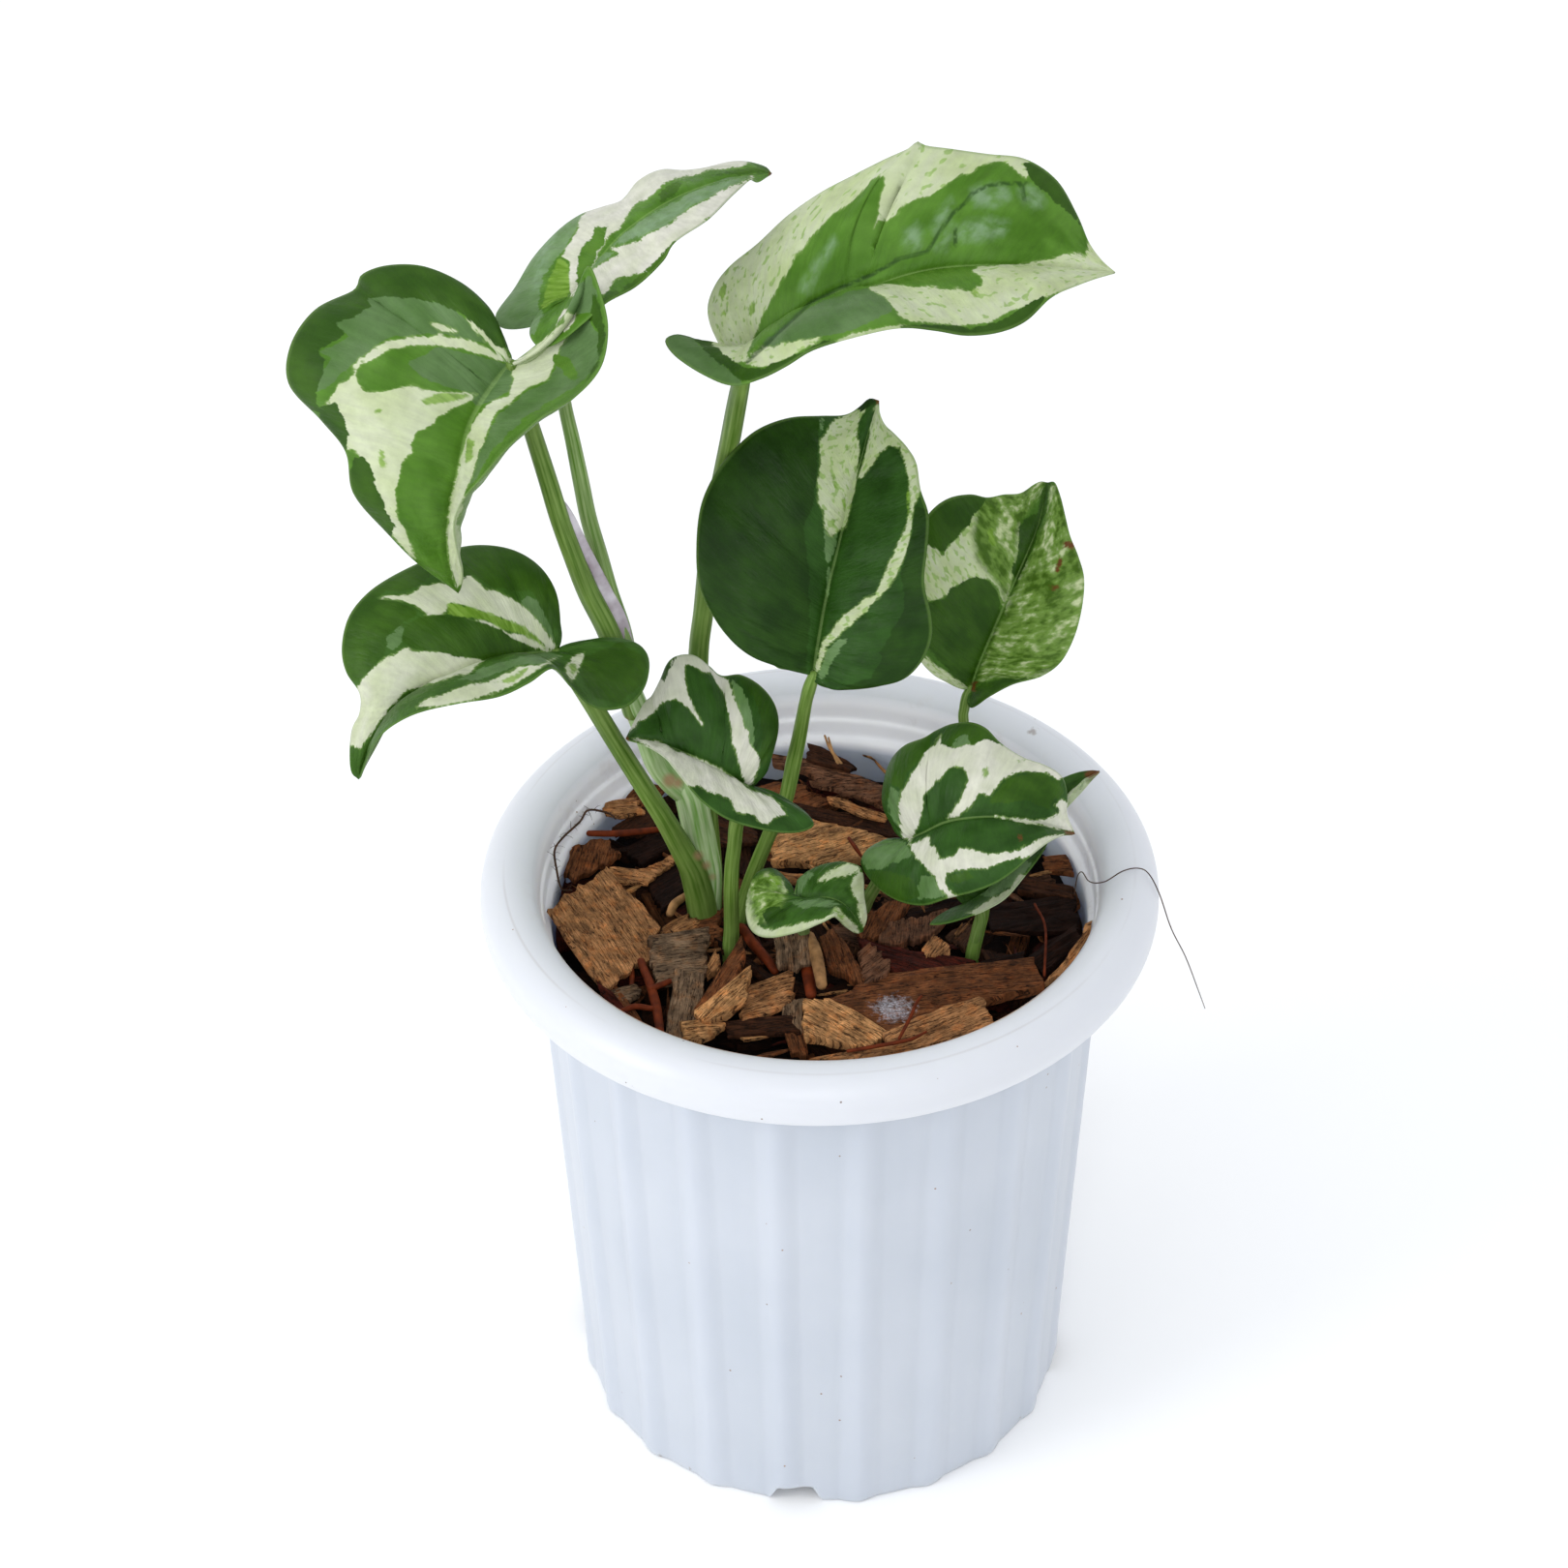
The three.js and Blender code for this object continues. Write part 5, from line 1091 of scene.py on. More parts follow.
LEAVES["leaf_5"] = dict(
    midrib=[[1003, 712, 15], [1011, 688, 18], [1025, 655, 22], [1041, 618, 26], [1056, 584, 31], [1070, 550, 35],
            [1078, 522, 39], [1083, 499, 43]],
    left=[[1003, 712, 15], [996, 712, 14], [984, 708, 14], [965, 697, 15], [950, 680, 17], [940, 655, 20],
          [937, 620, 25], [941, 585, 30], [949, 555, 34], [961, 531, 37], [980, 516, 40], [1003, 511, 42],
          [1021, 514, 42], [1038, 511, 43], [1055, 510, 44], [1069, 501, 44], [1076, 498, 44], [1083, 499, 43]],
    right=[[1003, 712, 15], [1000, 722, 13], [1003, 731, 11], [1022, 719, 9], [1045, 708, 9], [1074, 700, 10],
           [1095, 684, 13], [1109, 658, 16], [1117, 627, 20], [1119, 598, 24], [1113, 575, 28], [1105, 555, 31],
           [1100, 535, 34], [1095, 515, 38], [1090, 499, 42], [1083, 499, 43]],
    cup=(0.14, 0.18), fleck=1.0, tones=(0.6, 0.45, 0.15),
    cream=[[(1005, 529), (1015, 528), (1025, 536), (1040, 535), (1054, 540), (1053, 560), (1050, 585), (1045, 600),
            (1040, 620), (1036, 625), (1030, 606), (1020, 598), (1005, 597), (995, 602), (985, 607), (980, 615),
            (965, 620), (950, 622), (945, 600), (948, 575), (958, 560), (968, 567), (975, 574), (980, 565),
            (990, 555), (997, 545), (1002, 540)],
           [(1085, 505), (1091, 500), (1099, 530), (1106, 558), (1115, 575), (1121, 600), (1113, 607), (1105, 582),
            (1095, 560), (1088, 530)],
           [(1040, 622), (1052, 610), (1070, 602), (1062, 614), (1050, 630), (1040, 637)],
           [(1013, 690), (1025, 672), (1040, 655), (1056, 660), (1050, 672), (1035, 676), (1025, 685)],
           [(1060, 683), (1085, 665), (1110, 645), (1106, 657), (1085, 676), (1070, 690)],
           [(1012, 703), (1040, 695), (1075, 690), (1103, 672), (1080, 700), (1040, 701)],
           [(950, 675), (970, 690), (990, 702), (1000, 711), (985, 714), (960, 700), (944, 682)]],
    lime=[[(1020, 545), (1026, 545), (1028, 565), (1022, 560)]],
    marble=[[(1012, 517), (1040, 507), (1070, 496), (1082, 496), (1072, 515), (1060, 532), (1053, 545), (1051, 580),
             (1044, 602), (1038, 622), (1030, 605), (1020, 592), (1008, 575), (1004, 550), (1008, 530)],
            [(1090, 496), (1080, 540), (1060, 585), (1044, 620), (1027, 655), (1010, 702), (1060, 704), (1098, 690),
             (1122, 640), (1125, 600), (1112, 560), (1098, 500)]],
    deep=[[(952, 532), (985, 511), (1005, 507), (1022, 512), (1012, 525), (1004, 535), (1002, 543), (992, 550),
           (988, 557), (980, 562), (974, 573), (968, 566), (955, 560)],
          [(945, 625), (975, 619), (982, 608), (992, 603), (1000, 597), (1010, 597), (1022, 600), (1030, 612),
           (1034, 630), (1028, 650), (1015, 675), (1005, 700), (1000, 709), (985, 700), (965, 676), (945, 655)],
          [(1051, 600), (1044, 590), (1052, 570), (1053, 545), (1058, 537), (1072, 530), (1080, 499), (1086, 499),
           (1081, 530), (1071, 560), (1060, 585), (1045, 612)],
          [(998, 733), (1004, 714), (1022, 704), (1062, 702), (1042, 712), (1020, 724)]],
    rust=[[(1097, 560), (1110, 561), (1110, 567), (1098, 567)], [(1004, 706), (1011, 704), (1008, 714), (1004, 714)],
          [(1095, 576), (1098, 577), (1094, 592), (1091, 591)], [(1085, 606), (1094, 605), (1093, 610), (1087, 611)]],
)
LEAVES["leaf_6"] = dict(
    midrib=[[574, 673, -5], [550, 675, -7], [520, 679, -10], [490, 687, -13], [456, 701, -16], [426, 717, -19],
            [402, 738, -21], [386, 765, -23], [376, 790, -24], [371, 805, -25]],
    left=[[574, 673, -5], [590, 668, -3], [611, 662, -1], [641, 660, 1], [662, 667, 1], [671, 683, -1],
          [667, 708, -6], [651, 727, -12], [626, 733, -17], [605, 727, -21], [588, 710, -24], [571, 691, -27],
          [546, 705, -30], [516, 718, -32], [475, 725, -34], [438, 734, -34], [414, 745, -33], [395, 760, -31],
          [382, 780, -28], [371, 805, -25]],
    right=[[574, 673, -5], [574, 660, -3], [577, 638, 0], [572, 610, 4], [557, 587, 8], [532, 570, 11],
           [500, 563, 13], [470, 566, 12], [440, 578, 8], [403, 598, 3], [378, 617, -1], [361, 640, -5],
           [354, 670, -10], [358, 695, -14], [371, 717, -17], [371, 736, -18], [364, 752, -20], [362, 775, -23],
           [363, 797, -25], [371, 805, -25]],
    cup=(0.15, 0.25), fleck=0.25, tones=(0.4, 0.55, 0.3),
    cream=[[(390, 620), (400, 616), (425, 616), (437, 606), (455, 603), (470, 607), (480, 592), (492, 600),
            (502, 608), (517, 614), (530, 620), (545, 632), (560, 648), (574, 668), (570, 672), (552, 658),
            (535, 646), (515, 638), (498, 632), (480, 626), (465, 622), (460, 634), (440, 637), (432, 628), (415, 621)],
           [(480, 640), (500, 641), (515, 647), (525, 655), (540, 655), (555, 662), (570, 674), (550, 669),
            (530, 661), (510, 650), (490, 643)],
           [(420, 669), (410, 675), (395, 682), (385, 692), (375, 702), (366, 715), (368, 735), (362, 748),
            (362, 770), (372, 772), (382, 760), (392, 745), (402, 731), (412, 722), (420, 712), (440, 709),
            (455, 705), (470, 700), (485, 697), (490, 690), (500, 685), (495, 680), (475, 677), (455, 674), (430, 674)],
           [(575, 680), (555, 690), (535, 690), (520, 697), (505, 705), (485, 708), (465, 715), (445, 722),
            (432, 732), (450, 730), (470, 726), (495, 720), (515, 715), (530, 706), (548, 696), (568, 686)],
           [(583, 692), (592, 680), (604, 674), (600, 685), (594, 700), (588, 706)]],
    pale=[[(545, 615), (558, 622), (568, 645), (572, 662), (558, 648), (545, 632), (536, 622)],
          [(410, 650), (418, 645), (416, 660), (412, 669), (403, 673), (395, 660), (405, 655)],
          [(565, 673), (580, 680), (560, 688), (535, 688), (515, 695), (495, 703), (470, 705), (500, 690), (530, 682)]],
    lime=[[(462, 622), (480, 626), (500, 632), (518, 638), (540, 647), (555, 658), (563, 670), (550, 661), (530, 653),
           (518, 651), (505, 642), (480, 638), (462, 635)],
          [(586, 690), (594, 683), (596, 694), (590, 702)], [(512, 706), (530, 697), (545, 692), (530, 704)]],
    deep=[[(475, 560), (500, 557), (535, 566), (562, 584), (580, 615), (580, 650), (570, 650), (560, 630), (550, 612),
           (530, 612), (510, 606), (495, 598), (485, 592), (478, 600), (472, 585)],
          [(420, 645), (440, 637), (470, 637), (495, 642), (515, 650), (530, 660), (552, 670), (540, 678), (510, 682),
           (480, 680), (450, 672), (425, 670), (415, 660)],
          [(348, 670), (356, 636), (378, 612), (402, 595), (440, 574), (452, 585), (440, 600), (425, 610), (400, 613),
           (388, 621), (405, 622), (425, 628), (432, 635), (410, 648), (400, 660), (398, 676), (385, 690), (370, 704),
           (352, 700)],
          [(605, 678), (640, 664), (668, 680), (665, 705), (640, 727), (612, 722), (598, 700)]],
)
LEAVES["leaf_7"] = dict(
    midrib=[[938, 868, -12], [955, 860, -14], [976, 850, -16], [1002, 845, -18], [1032, 844, -19], [1060, 849, -18],
            [1086, 855, -17], [1110, 862, -15]],
    left=[[938, 868, -12], [934, 861, -10], [924, 847, -6], [916, 828, -2], [914, 808, 1], [921, 788, 2],
          [935, 772, 1], [955, 763, 0], [967, 755, 1], [982, 748, 1], [1002, 746, 0], [1019, 753, -2],
          [1034, 769, -4], [1056, 784, -6], [1081, 793, -8], [1097, 804, -9], [1103, 823, -11], [1103, 842, -13],
          [1110, 862, -15]],
    right=[[938, 868, -12], [928, 871, -11], [913, 870, -9], [897, 878, -8], [889, 891, -9], [896, 906, -13],
           [911, 921, -18], [932, 931, -23], [956, 934, -27], [980, 927, -30], [1005, 921, -32], [1030, 911, -31],
           [1050, 897, -29], [1063, 885, -27], [1081, 871, -23], [1096, 864, -19], [1110, 862, -15]],
    cup=(0.22, 0.18), fleck=0.1, tones=(0.15, 0.5, 0.3),
    cream=[[(941, 870), (934, 865), (931, 850), (930, 835), (932, 820), (940, 805), (950, 790), (955, 778),
            (965, 770), (972, 758), (972, 768), (985, 773), (998, 770), (1005, 771), (1012, 765), (1025, 763),
            (1035, 770), (1055, 780), (1080, 788), (1100, 803), (1090, 805), (1080, 799), (1060, 798), (1045, 801),
            (1035, 806), (1028, 815), (1022, 822), (1012, 820), (1005, 830), (1000, 835), (990, 842), (980, 846),
            (985, 840), (990, 832), (995, 820), (1000, 805), (998, 795), (990, 792), (980, 794), (970, 805),
            (960, 815), (955, 822), (953, 835), (950, 850), (944, 862)],
           [(1028, 843), (1050, 846), (1070, 848), (1085, 845), (1094, 840), (1095, 836), (1090, 832), (1097, 826),
            (1106, 830), (1108, 845), (1112, 860), (1095, 857), (1075, 852), (1050, 849)],
           [(941, 873), (950, 870), (960, 865), (962, 874), (968, 877), (972, 888), (985, 886), (993, 877),
            (1003, 878), (1010, 881), (1025, 883), (1045, 881), (1060, 876), (1075, 867), (1090, 864), (1098, 864),
            (1085, 872), (1065, 884), (1045, 888), (1035, 890), (1020, 897), (1000, 897), (985, 900), (978, 902),
            (978, 912), (983, 920), (992, 928), (982, 930), (972, 915), (968, 905), (960, 898), (950, 888),
            (944, 882)]],
    pale=[[(918, 832), (921, 812), (932, 818), (931, 852), (925, 848)],
          [(984, 769), (992, 759), (1000, 757), (1002, 768), (995, 774), (985, 775)],
          [(888, 882), (910, 868), (936, 870), (942, 884), (930, 890), (910, 898), (895, 898)],
          [(955, 905), (966, 905), (975, 918), (980, 926), (950, 928), (948, 915)]],
    lime=[[(1015, 795), (1020, 792), (1022, 802), (1016, 806)], [(982, 793), (996, 790), (990, 793)],
          [(1048, 787), (1060, 787), (1056, 790)]],
    deep=[[(910, 832), (910, 800), (920, 782), (942, 762), (960, 757), (963, 770), (955, 778), (948, 790), (938, 797),
           (933, 815), (922, 810), (916, 832)],
          [(972, 768), (974, 757), (985, 746), (1005, 742), (1022, 750), (1037, 769), (1028, 769), (1018, 763),
           (1005, 770), (1000, 757), (985, 763), (983, 773)],
          [(1022, 830), (1035, 810), (1050, 802), (1075, 799), (1095, 810), (1100, 820), (1088, 828), (1082, 836),
           (1060, 826), (1040, 830)],
          [(898, 900), (920, 900), (945, 908), (952, 925), (925, 932), (905, 920)],
          [(980, 905), (1000, 901), (1010, 907), (990, 912), (982, 912)]],
    rust=[[(1051, 863), (1055, 863), (1055, 867), (1052, 868)], [(1098, 859), (1112, 859), (1112, 864), (1100, 863)]],
)
LEAVES["leaf_8"] = dict(
    midrib=[[772, 813, -12], [752, 800, -12], [725, 786, -11], [696, 773, -9], [668, 765, -7], [647, 764, -5]],
    left=[[772, 813, -12], [785, 819, -12], [805, 827, -13], [822, 835, -14], [835, 845, -16], [839, 853, -18],
          [826, 859, -20], [805, 859, -22], [783, 855, -23], [763, 850, -23], [744, 842, -23], [725, 828, -22],
          [711, 812, -20], [700, 797, -18], [688, 782, -15], [672, 772, -11], [647, 764, -5]],
    right=[[772, 813, -12], [777, 806, -11], [789, 794, -9], [800, 775, -7], [804, 750, -4], [799, 728, -1],
           [785, 710, 2], [765, 698, 4], [746, 698, 5], [734, 688, 6], [720, 678, 7], [705, 677, 7], [692, 684, 6],
           [684, 703, 5], [675, 719, 4], [666, 727, 2], [655, 745, -1], [647, 764, -5]],
    cup=(0.15, 0.25), fleck=0.03, tones=(0.15, 0.35, 0.6),
    cream=[[(695, 680), (712, 673), (728, 682), (740, 695), (750, 705), (757, 725), (762, 750), (768, 770),
            (777, 785), (780, 795), (777, 808), (772, 813), (765, 795), (757, 765), (755, 740), (748, 715),
            (735, 697), (720, 690), (708, 686), (707, 700), (710, 718), (718, 735), (726, 748), (720, 742),
            (708, 728), (698, 722), (688, 724), (675, 737), (660, 748), (645, 760), (655, 742), (666, 724),
            (680, 712), (688, 698)],
           [(744, 698), (752, 702), (760, 722), (768, 745), (775, 770), (786, 783), (781, 800), (772, 813),
            (768, 800), (760, 765), (756, 740), (750, 715)],
           [(655, 764), (680, 766), (700, 778), (720, 783), (740, 792), (760, 806), (773, 817), (795, 824),
            (805, 832), (813, 841), (800, 845), (793, 850), (785, 850), (780, 842), (762, 840), (752, 825),
            (735, 820), (720, 812), (708, 812), (698, 797), (688, 784), (670, 772)]],
    pale=[[(756, 703), (768, 715), (775, 735), (778, 755), (780, 775), (772, 775), (765, 750), (758, 725)]],
    deep=[[(684, 700), (686, 688), (698, 678), (694, 692), (688, 704)],
          [(760, 694), (778, 700), (798, 720), (808, 750), (802, 775), (788, 792), (783, 780), (788, 760), (784, 738),
           (778, 720), (768, 708)]],
    rust=[[(640, 760), (650, 762), (650, 768), (642, 768)]],
)
LEAVES["leaf_9"] = dict(
    midrib=[[822, 929, -16], [838, 928, -17], [855, 927, -18], [871, 933, -19], [883, 946, -20], [891, 962, -20]],
    left=[[822, 929, -16], [821, 921, -15], [824, 910, -12], [833, 900, -10], [846, 894, -9], [863, 892, -9],
          [878, 893, -10], [889, 897, -11], [893, 910, -13], [893, 930, -16], [894, 949, -19], [891, 962, -20]],
    right=[[822, 929, -16], [813, 922, -13], [811, 911, -10], [804, 902, -8], [793, 899, -8], [781, 905, -9],
           [774, 920, -11], [770, 937, -15], [773, 956, -19], [784, 966, -23], [802, 968, -26], [828, 962, -27],
           [848, 953, -26], [862, 947, -25], [875, 958, -23], [884, 964, -21], [891, 962, -20]],
    cup=(0.15, 0.2), fleck=0.4, tones=(0.3, 0.3, 0.5),
    cream=[[(773, 922), (780, 911), (795, 910), (809, 912), (813, 922), (800, 930), (788, 940), (782, 955),
            (790, 962), (820, 957), (850, 950), (862, 943), (862, 952), (832, 966), (800, 972), (780, 970), (768, 950)],
           [(845, 912), (860, 900), (876, 894), (888, 896), (880, 903), (865, 907)],
           [(878, 915), (886, 900), (894, 902), (897, 935), (895, 962), (888, 950), (884, 930)],
           [(862, 938), (872, 945), (885, 958), (888, 965), (876, 960), (864, 948)]],
    pale=[[(820, 925), (825, 908), (835, 900), (842, 905), (832, 915), (826, 926)],
          [(815, 932), (850, 930), (870, 935), (855, 938), (830, 940)]],
    marble=[[(774, 912), (792, 903), (806, 912), (812, 926), (806, 940), (792, 952), (780, 950), (774, 935)]],
    lime=[[(795, 905), (806, 907), (808, 916), (800, 914)], [(862, 940), (872, 946), (870, 950)]],
    deep=[[(786, 946), (795, 936), (815, 940), (812, 950), (795, 957)]],
)
LEAVES["leaf_10"] = dict(
    midrib=[[1010, 935, -11], [1030, 910, -8], [1055, 880, -4], [1085, 846, 1], [1113, 816, 6], [1136, 797, 10]],
    left=[[1010, 935, -11], [1000, 936, -11], [988, 928, -10], [984, 909, -7], [993, 883, -4], [1011, 857, 0],
          [1034, 834, 3], [1060, 819, 5], [1088, 809, 7], [1112, 799, 9], [1126, 796, 10], [1136, 797, 10]],
    right=[[1010, 935, -11], [999, 940, -13], [981, 948, -17], [961, 954, -20], [975, 953, -22], [1000, 946, -22],
           [1018, 940, -22], [1040, 928, -20], [1060, 905, -17], [1077, 880, -14], [1087, 856, -10], [1101, 830, -4],
           [1116, 812, 2], [1128, 803, 7], [1136, 797, 10]],
    cup=(0.15, 0.15), fleck=0.3, tones=(0.3, 0.3, 0.6),
    cream=[[(1000, 943), (1025, 930), (1045, 920), (1056, 905), (1062, 905), (1045, 930), (1018, 946)],
           [(1098, 830), (1110, 815), (1125, 805), (1120, 815), (1104, 836)]],
    pale=[[(1015, 925), (1035, 905), (1060, 890), (1070, 892), (1050, 915), (1025, 928)]],
    deep=[[(1062, 908), (1075, 880), (1085, 850), (1090, 862), (1078, 890), (1062, 912)]],
    rust=[[(1120, 798), (1140, 793), (1138, 800), (1122, 806)]],
)


def by_length(curve, share):
    """Points of a curve at shares of its length: the curve is followed finely and its length summed."""
    fine = through(curve, np.linspace(0, 1, 1500))
    run = run_along(fine)
    return np.stack([np.interp(share * run[-1], run, fine[:, k]) for k in range(3)], -1)


def half_surface(leaf, side):
    """Half a blade as rows of veins. Each vein leaves the midrib at v(s) = ((s - 0.1) / 0.9) ^ 1.7 and ends on the
    margin at s. It is the curve (1-t)^2 M + 2t(1-t) C + t^2 E, whose middle point C is raised by the cup and drawn
    back towards the stalk, or forwards in a lobe with a bow."""
    half = ("left", "right").index(side)
    s = np.linspace(0, 1, RIBS + 1)
    root = by_length(seen_at_depth(leaf["midrib"]), np.maximum(0, (s - 0.1) / 0.9) ** 1.7)
    margin = by_length(seen_at_depth(leaf[side]), s)
    spoke = margin - root
    reach = np.linalg.norm(spoke, axis=1, keepdims=True)
    up = (1, -1)[half] * unit(np.cross(np.gradient(margin, axis=0), spoke))
    stalk_end, tip = seen_at_depth([leaf["midrib"][0], leaf["midrib"][-1]])
    bow = leaf.get("bow", (0, 0))[half] * np.clip(1 - s / 0.35, 0, 1)[:, None] - 0.1
    middle = (root + margin) / 2 + up * leaf["cup"][half] * reach + bow * unit(tip - stalk_end) * reach
    t = (np.linspace(0, 1, STEPS + 1) ** STEP_CROWDING)[None, :, None]
    root, middle, margin = (part[:, None, :] for part in (root, middle, margin))
    return (1 - t) ** 2 * root + 2 * t * (1 - t) * middle + t**2 * margin


def grid_normals(surface):
    """At each point of a grid, the sum of the normals of the faces round it. Points that coincide share theirs."""
    faces = np.cross(surface[1:, 1:] - surface[:-1, :-1], surface[1:, :-1] - surface[:-1, 1:])
    normals = np.zeros_like(surface)
    rows, columns = faces.shape[:2]
    for row, column in ((0, 0), (0, 1), (1, 0), (1, 1)):
        normals[row:row + rows, column:column + columns] += faces
    at_notch = np.linalg.norm(surface - surface[0, STEPS], axis=-1) < 1e-7
    normals[at_notch] = normals[at_notch].sum(0)
    normals[-1] = normals[-1].sum(0)
    return unit(normals)


def off_lines(pixels, start, end):
    """How many pixels each pixel lies from the nearest of the straight lines from each start to its end."""
    offset, step = pixels[:, None, :] - start, end - start
    along = np.clip((offset * step).sum(-1) / np.maximum((step**2).sum(-1), 1e-9), 0, 1)
    return np.linalg.norm(offset - along[..., None] * step, axis=-1).min(1)


def patch_depth(pixels, outlines):
    """How many millimetres inside the nearest edge of a patch each pixel lies; negative outside every patch. Inside is
    found by counting the outline's crossings of a level line."""
    depth = np.full(len(pixels), -FAR)
    for outline in outlines:
        start = np.array(outline, float)
        end = np.roll(start, -1, 0)
        across, down = pixels[:, :1], pixels[:, 1:]
        with np.errstate(divide="ignore", invalid="ignore"):
            crossing = start[:, 0] + (down - start[:, 1]) * (end - start)[:, 0] / (end - start)[:, 1]
        crossed = ((down >= start[:, 1]) != (down >= end[:, 1])) & (across < crossing)
        inside = crossed.sum(1) % 2 == 1
        depth = np.maximum(depth, np.where(inside, 1, -1) * off_lines(pixels, start, end) / PIXELS_PER_MM)
    return depth


def line_distance(pixels, lines):
    """How many millimetres each pixel lies from the nearest of some open lines."""
    nearest = np.full(len(pixels), FAR)
    for line in lines:
        line = np.array(line, float)
        nearest = np.minimum(nearest, off_lines(pixels, line[:-1], line[1:]) / PIXELS_PER_MM)
    return nearest


def leaf_piece(name, leaf, order):
    """A blade with two faces and a round edge. A groove follows the midrib above and a ridge below, the blade swells
    between its side veins, and it is folded in along its creases."""
    left, right = half_surface(leaf, "left"), half_surface(leaf, "right")
    surface = np.concatenate([left[:, :0:-1], right], axis=1)
    normals = grid_normals(surface)
    share = np.linspace(0, 1, STEPS + 1) ** STEP_CROWDING
    across = np.concatenate([-share[::-1], share[1:]])[None, :]
    off_rib = np.abs(across)
    s = np.linspace(0, 1, RIBS + 1)[:, None]
    taper = smoothstep(s / 0.12) * smoothstep((1 - s) / 0.1)
    belly = np.sin(math.pi * off_rib) ** 0.7 * taper
    quilt = belly * np.sin(2 * math.pi * (9 * s + 0.6 * off_rib + 0.37 * order))
    quilt = quilt + 0.6 * belly * np.sin(2 * math.pi * (15.3 * s + 0.9 * across + 0.71 * order))
    swell = np.sin(2 * math.pi * (2.3 * s + 0.31 * order) + 2 * across) * off_rib * taper
    pixels = pixels_of(surface.reshape(-1, 3))
    crease = line_distance(pixels, leaf.get("crease", ())).reshape(surface.shape[:2])
    lift = 0.15 * quilt + 0.35 * swell - 0.5 * np.exp(-(crease / 0.7) ** 2)
    thick = BLADE_THICKNESS / 2 * (0.55 + 0.45 * np.sqrt(1 - off_rib**6))
    from_rib = np.linalg.norm(surface - surface[:, STEPS:STEPS + 1], axis=-1) / MM
    groove = 0.4 * taper * np.exp(-(from_rib / 0.8) ** 2)
    ridge = 0.9 * taper * np.exp(-(from_rib / 0.9) ** 2)
    top = surface + normals * (lift + thick - groove)[..., None] * MM
    under = surface + normals * (lift - thick - ridge)[..., None] * MM
    outward = unit(surface[:, [0, -1]] - surface[:, [1, -2]]) * (0.25 * taper * MM)[..., None]
    edges = surface[:, [0, -1]] + normals[:, [0, -1]] * lift[:, [0, -1], None] * MM + outward
    ring = np.concatenate([top, edges[:, 1:], under[:, ::-1], edges[:, :1]], axis=1)
    piece = mesh_object(name, ring, ring_faces(*ring.shape[:2]))

    # Each point of the ring keeps what the surface has at its column
    last = 2 * STEPS
    column = np.concatenate([np.arange(last + 1), [last], np.arange(last, -1, -1), [0]])
    for kind in PATCH_KINDS:
        store(piece, kind, patch_depth(pixels, leaf.get(kind, ())).reshape(surface.shape[:2])[:, column].ravel())
    store(piece, "crease", crease[:, column].ravel())
    below = np.zeros(ring.shape[:2])
    below[:, last + 2:-1] = 1
    store(piece, "under", below.ravel())
    for kind, level in zip(("fleck", "bright", "dark", "light"), (leaf["fleck"], *leaf["tones"])):
        store(piece, kind, np.full(below.size, level))
    spread = np.stack(np.broadcast_arrays(s, across), -1)[:, column]
    store_spread(piece, "veins", spread.reshape(-1, 2))
    join_doubles(piece)
    return piece


leaf_material, node, shader, link = new_material("leaf_blade")
veins_at = node("ShaderNodeUVMap", {"uv_map": "veins"}).outputs["UV"]
place = node("ShaderNodeTexCoord").outputs["Object"]


def leaf_noise(along_rib, along_veins, detail=2):
    """Noise drawn out along the veins, about 0, with its lumps over the length of the rib and of a vein."""
    return combined("SUBTRACT", noise(stretched(veins_at, (along_rib, along_veins, 1)), 1, detail), 0.5)


def step_over(value, low, high):
    """0 at the low value and 1 at the high value, with a smooth rise."""
    settings = {"interpolation_type": "SMOOTHSTEP"}
    return node("ShaderNodeMapRange", settings, Value=value, From_Min=low, From_Max=high).outputs[0]


def total(first, second):
    """Two values added."""
    return combined("ADD", first, second)


wander = total(product(leaf_noise(38, 5), 1.5), product(leaf_noise(150, 20), 1.1))


def patch(kind, soft=0.16, grow=0):
    """How much of a patch shows: 1 inside its edge, which wanders along the veins and can be moved outwards."""
    return step_over(total(total(held(kind), wander), grow), -soft, soft)


tone = step_over(leaf_noise(9, 3), -0.2, 0.2)
streak = step_over(leaf_noise(70, 4), -0.22, 0.22)
fine = leaf_noise(120, 12)
mottle = noise(place, 420, 5, 0.65)
off_rib = combined("ABSOLUTE", node("ShaderNodeSeparateXYZ", Vector=veins_at).outputs["Y"])

# Green, grey-green and dark, each between two tones by how bright the leaf is
green = blend(held("bright"), blend(tone, srgb(28, 59, 16), srgb(40, 75, 27)),
              blend(tone, srgb(70, 112, 28), srgb(90, 133, 48)))
pale = blend(held("light"), blend(tone, srgb(66, 98, 44), srgb(84, 114, 64)),
             blend(tone, srgb(106, 142, 84), srgb(124, 154, 108)))
dark = blend(held("dark"), blend(tone, srgb(22, 48, 8), srgb(34, 64, 16)),
             blend(tone, srgb(56, 94, 14), srgb(74, 112, 30)))

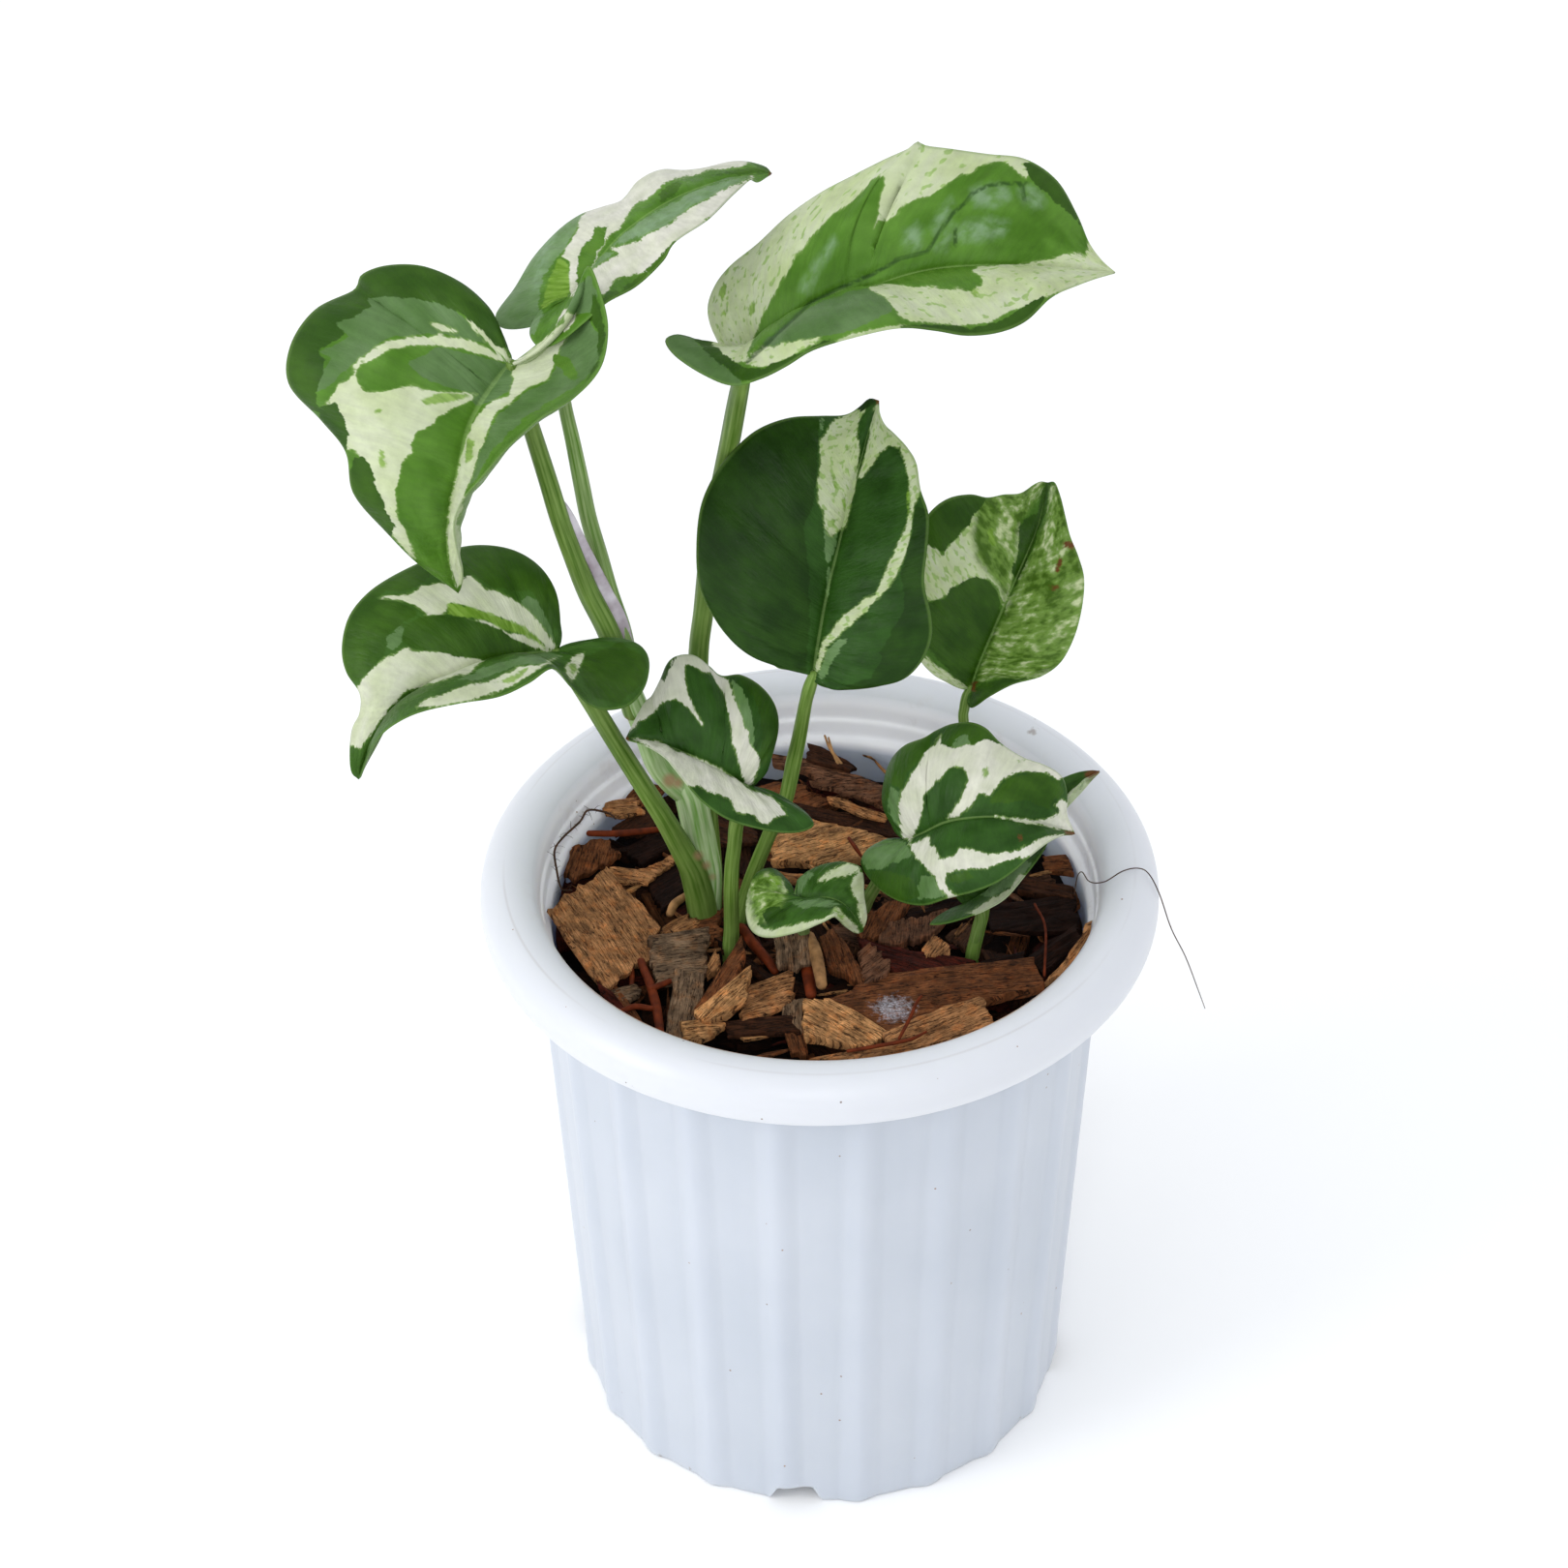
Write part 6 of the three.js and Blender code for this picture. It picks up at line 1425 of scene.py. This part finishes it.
# Cream: nearly white, or yellower with green streaks and flecks on a flecked leaf
cream = blend(step_over(held("fleck"), 0.05, 0.45), blend(tone, srgb(204, 207, 184), srgb(217, 216, 202)),
              blend(tone, srgb(186, 198, 152), srgb(202, 210, 178)))
cream = blend(product(streak, held("fleck"), 0.4), cream, srgb(172, 194, 122))
fleck_depth = combined("SUBTRACT", leaf_noise(62, 12, 1.5), ramp(held("fleck"), 0, 1, 0.36, 0.05))
cream = blend(product(step_over(fleck_depth, -0.02, 0.06), 0.75), cream, srgb(138, 172, 88))

# Marble: dark green, light green and cream, finely mixed
marble_noise = total(leaf_noise(44, 7, 8), product(leaf_noise(11, 2.5, 3), 1.1))
marble = blend(step_over(marble_noise, -0.22, 0.06), srgb(66, 98, 20), srgb(112, 146, 64))
marble = blend(step_over(marble_noise, 0.03, 0.3), marble, srgb(200, 212, 162))

# The patches, one over the other, and then the rib, the edge, painted shade along the creases, and the underside
# Painted sheen: a light grey-green over the sheen patches, in place of a highlight
painted_sheen = product(patch("sheen", 1.5), step_over(leaf_noise(34, 9, 4), -0.24, 0.14), 0.7)
# The pale patches are partly a real grey-green and partly painted sheen
colour = blend(patch("pale"), green, pale)
for share, second in (
    (painted_sheen, srgb(136, 164, 130)),
    (product(patch("cream", 0.2, 0.3), 0.45), srgb(128, 158, 84)),
    (patch("cream"), cream),
    (patch("marble", 1.2), marble),
    (patch("green"), blend(streak, green, srgb(84, 122, 42))),
    (product(patch("lime", 0.3), 0.85), blend(streak, srgb(98, 140, 30), srgb(132, 168, 70))),
    (patch("deep"), dark),
    (product(step_over(off_rib, 0.02, 0.008), 0.28), srgb(150, 182, 104)),
    (product(step_over(off_rib, 0.976, 0.996), 0.35), srgb(112, 146, 72)),
    # painted shade: a dark green line along each crease
    (product(step_over(held("crease"), 0.7, 0.15), 0.75), srgb(34, 66, 22)),
    (patch("rust", 0.3), srgb(104, 66, 32)),
    (product(held("under"), 0.45), srgb(136, 160, 108)),
):
    colour = blend(share, colour, second)
lightness = total(product(streak, 0.2), product(mottle, 0.5))
link.new(times(colour, ramp(lightness, 0.15, 0.6, 0.71, 0.97)), shader.inputs["Base Color"])
link.new(ramp(total(mottle, fine), 0.2, 0.8, 0.36, 0.54), shader.inputs["Roughness"])
veining = total(product(fine, 0.5), leaf_noise(34, 2))
relief(strength=0.6, depth=0.0005, height=total(product(mottle, 0.35), veining))
shader.inputs["Specular IOR Level"].default_value = 0.14

for order, (name, leaf) in enumerate(LEAVES.items()):
    blade = leaf_piece(f"pothos_{name}", leaf, order)
    blade.data.materials.append(leaf_material)
    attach(blade, "root")
    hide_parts(name)
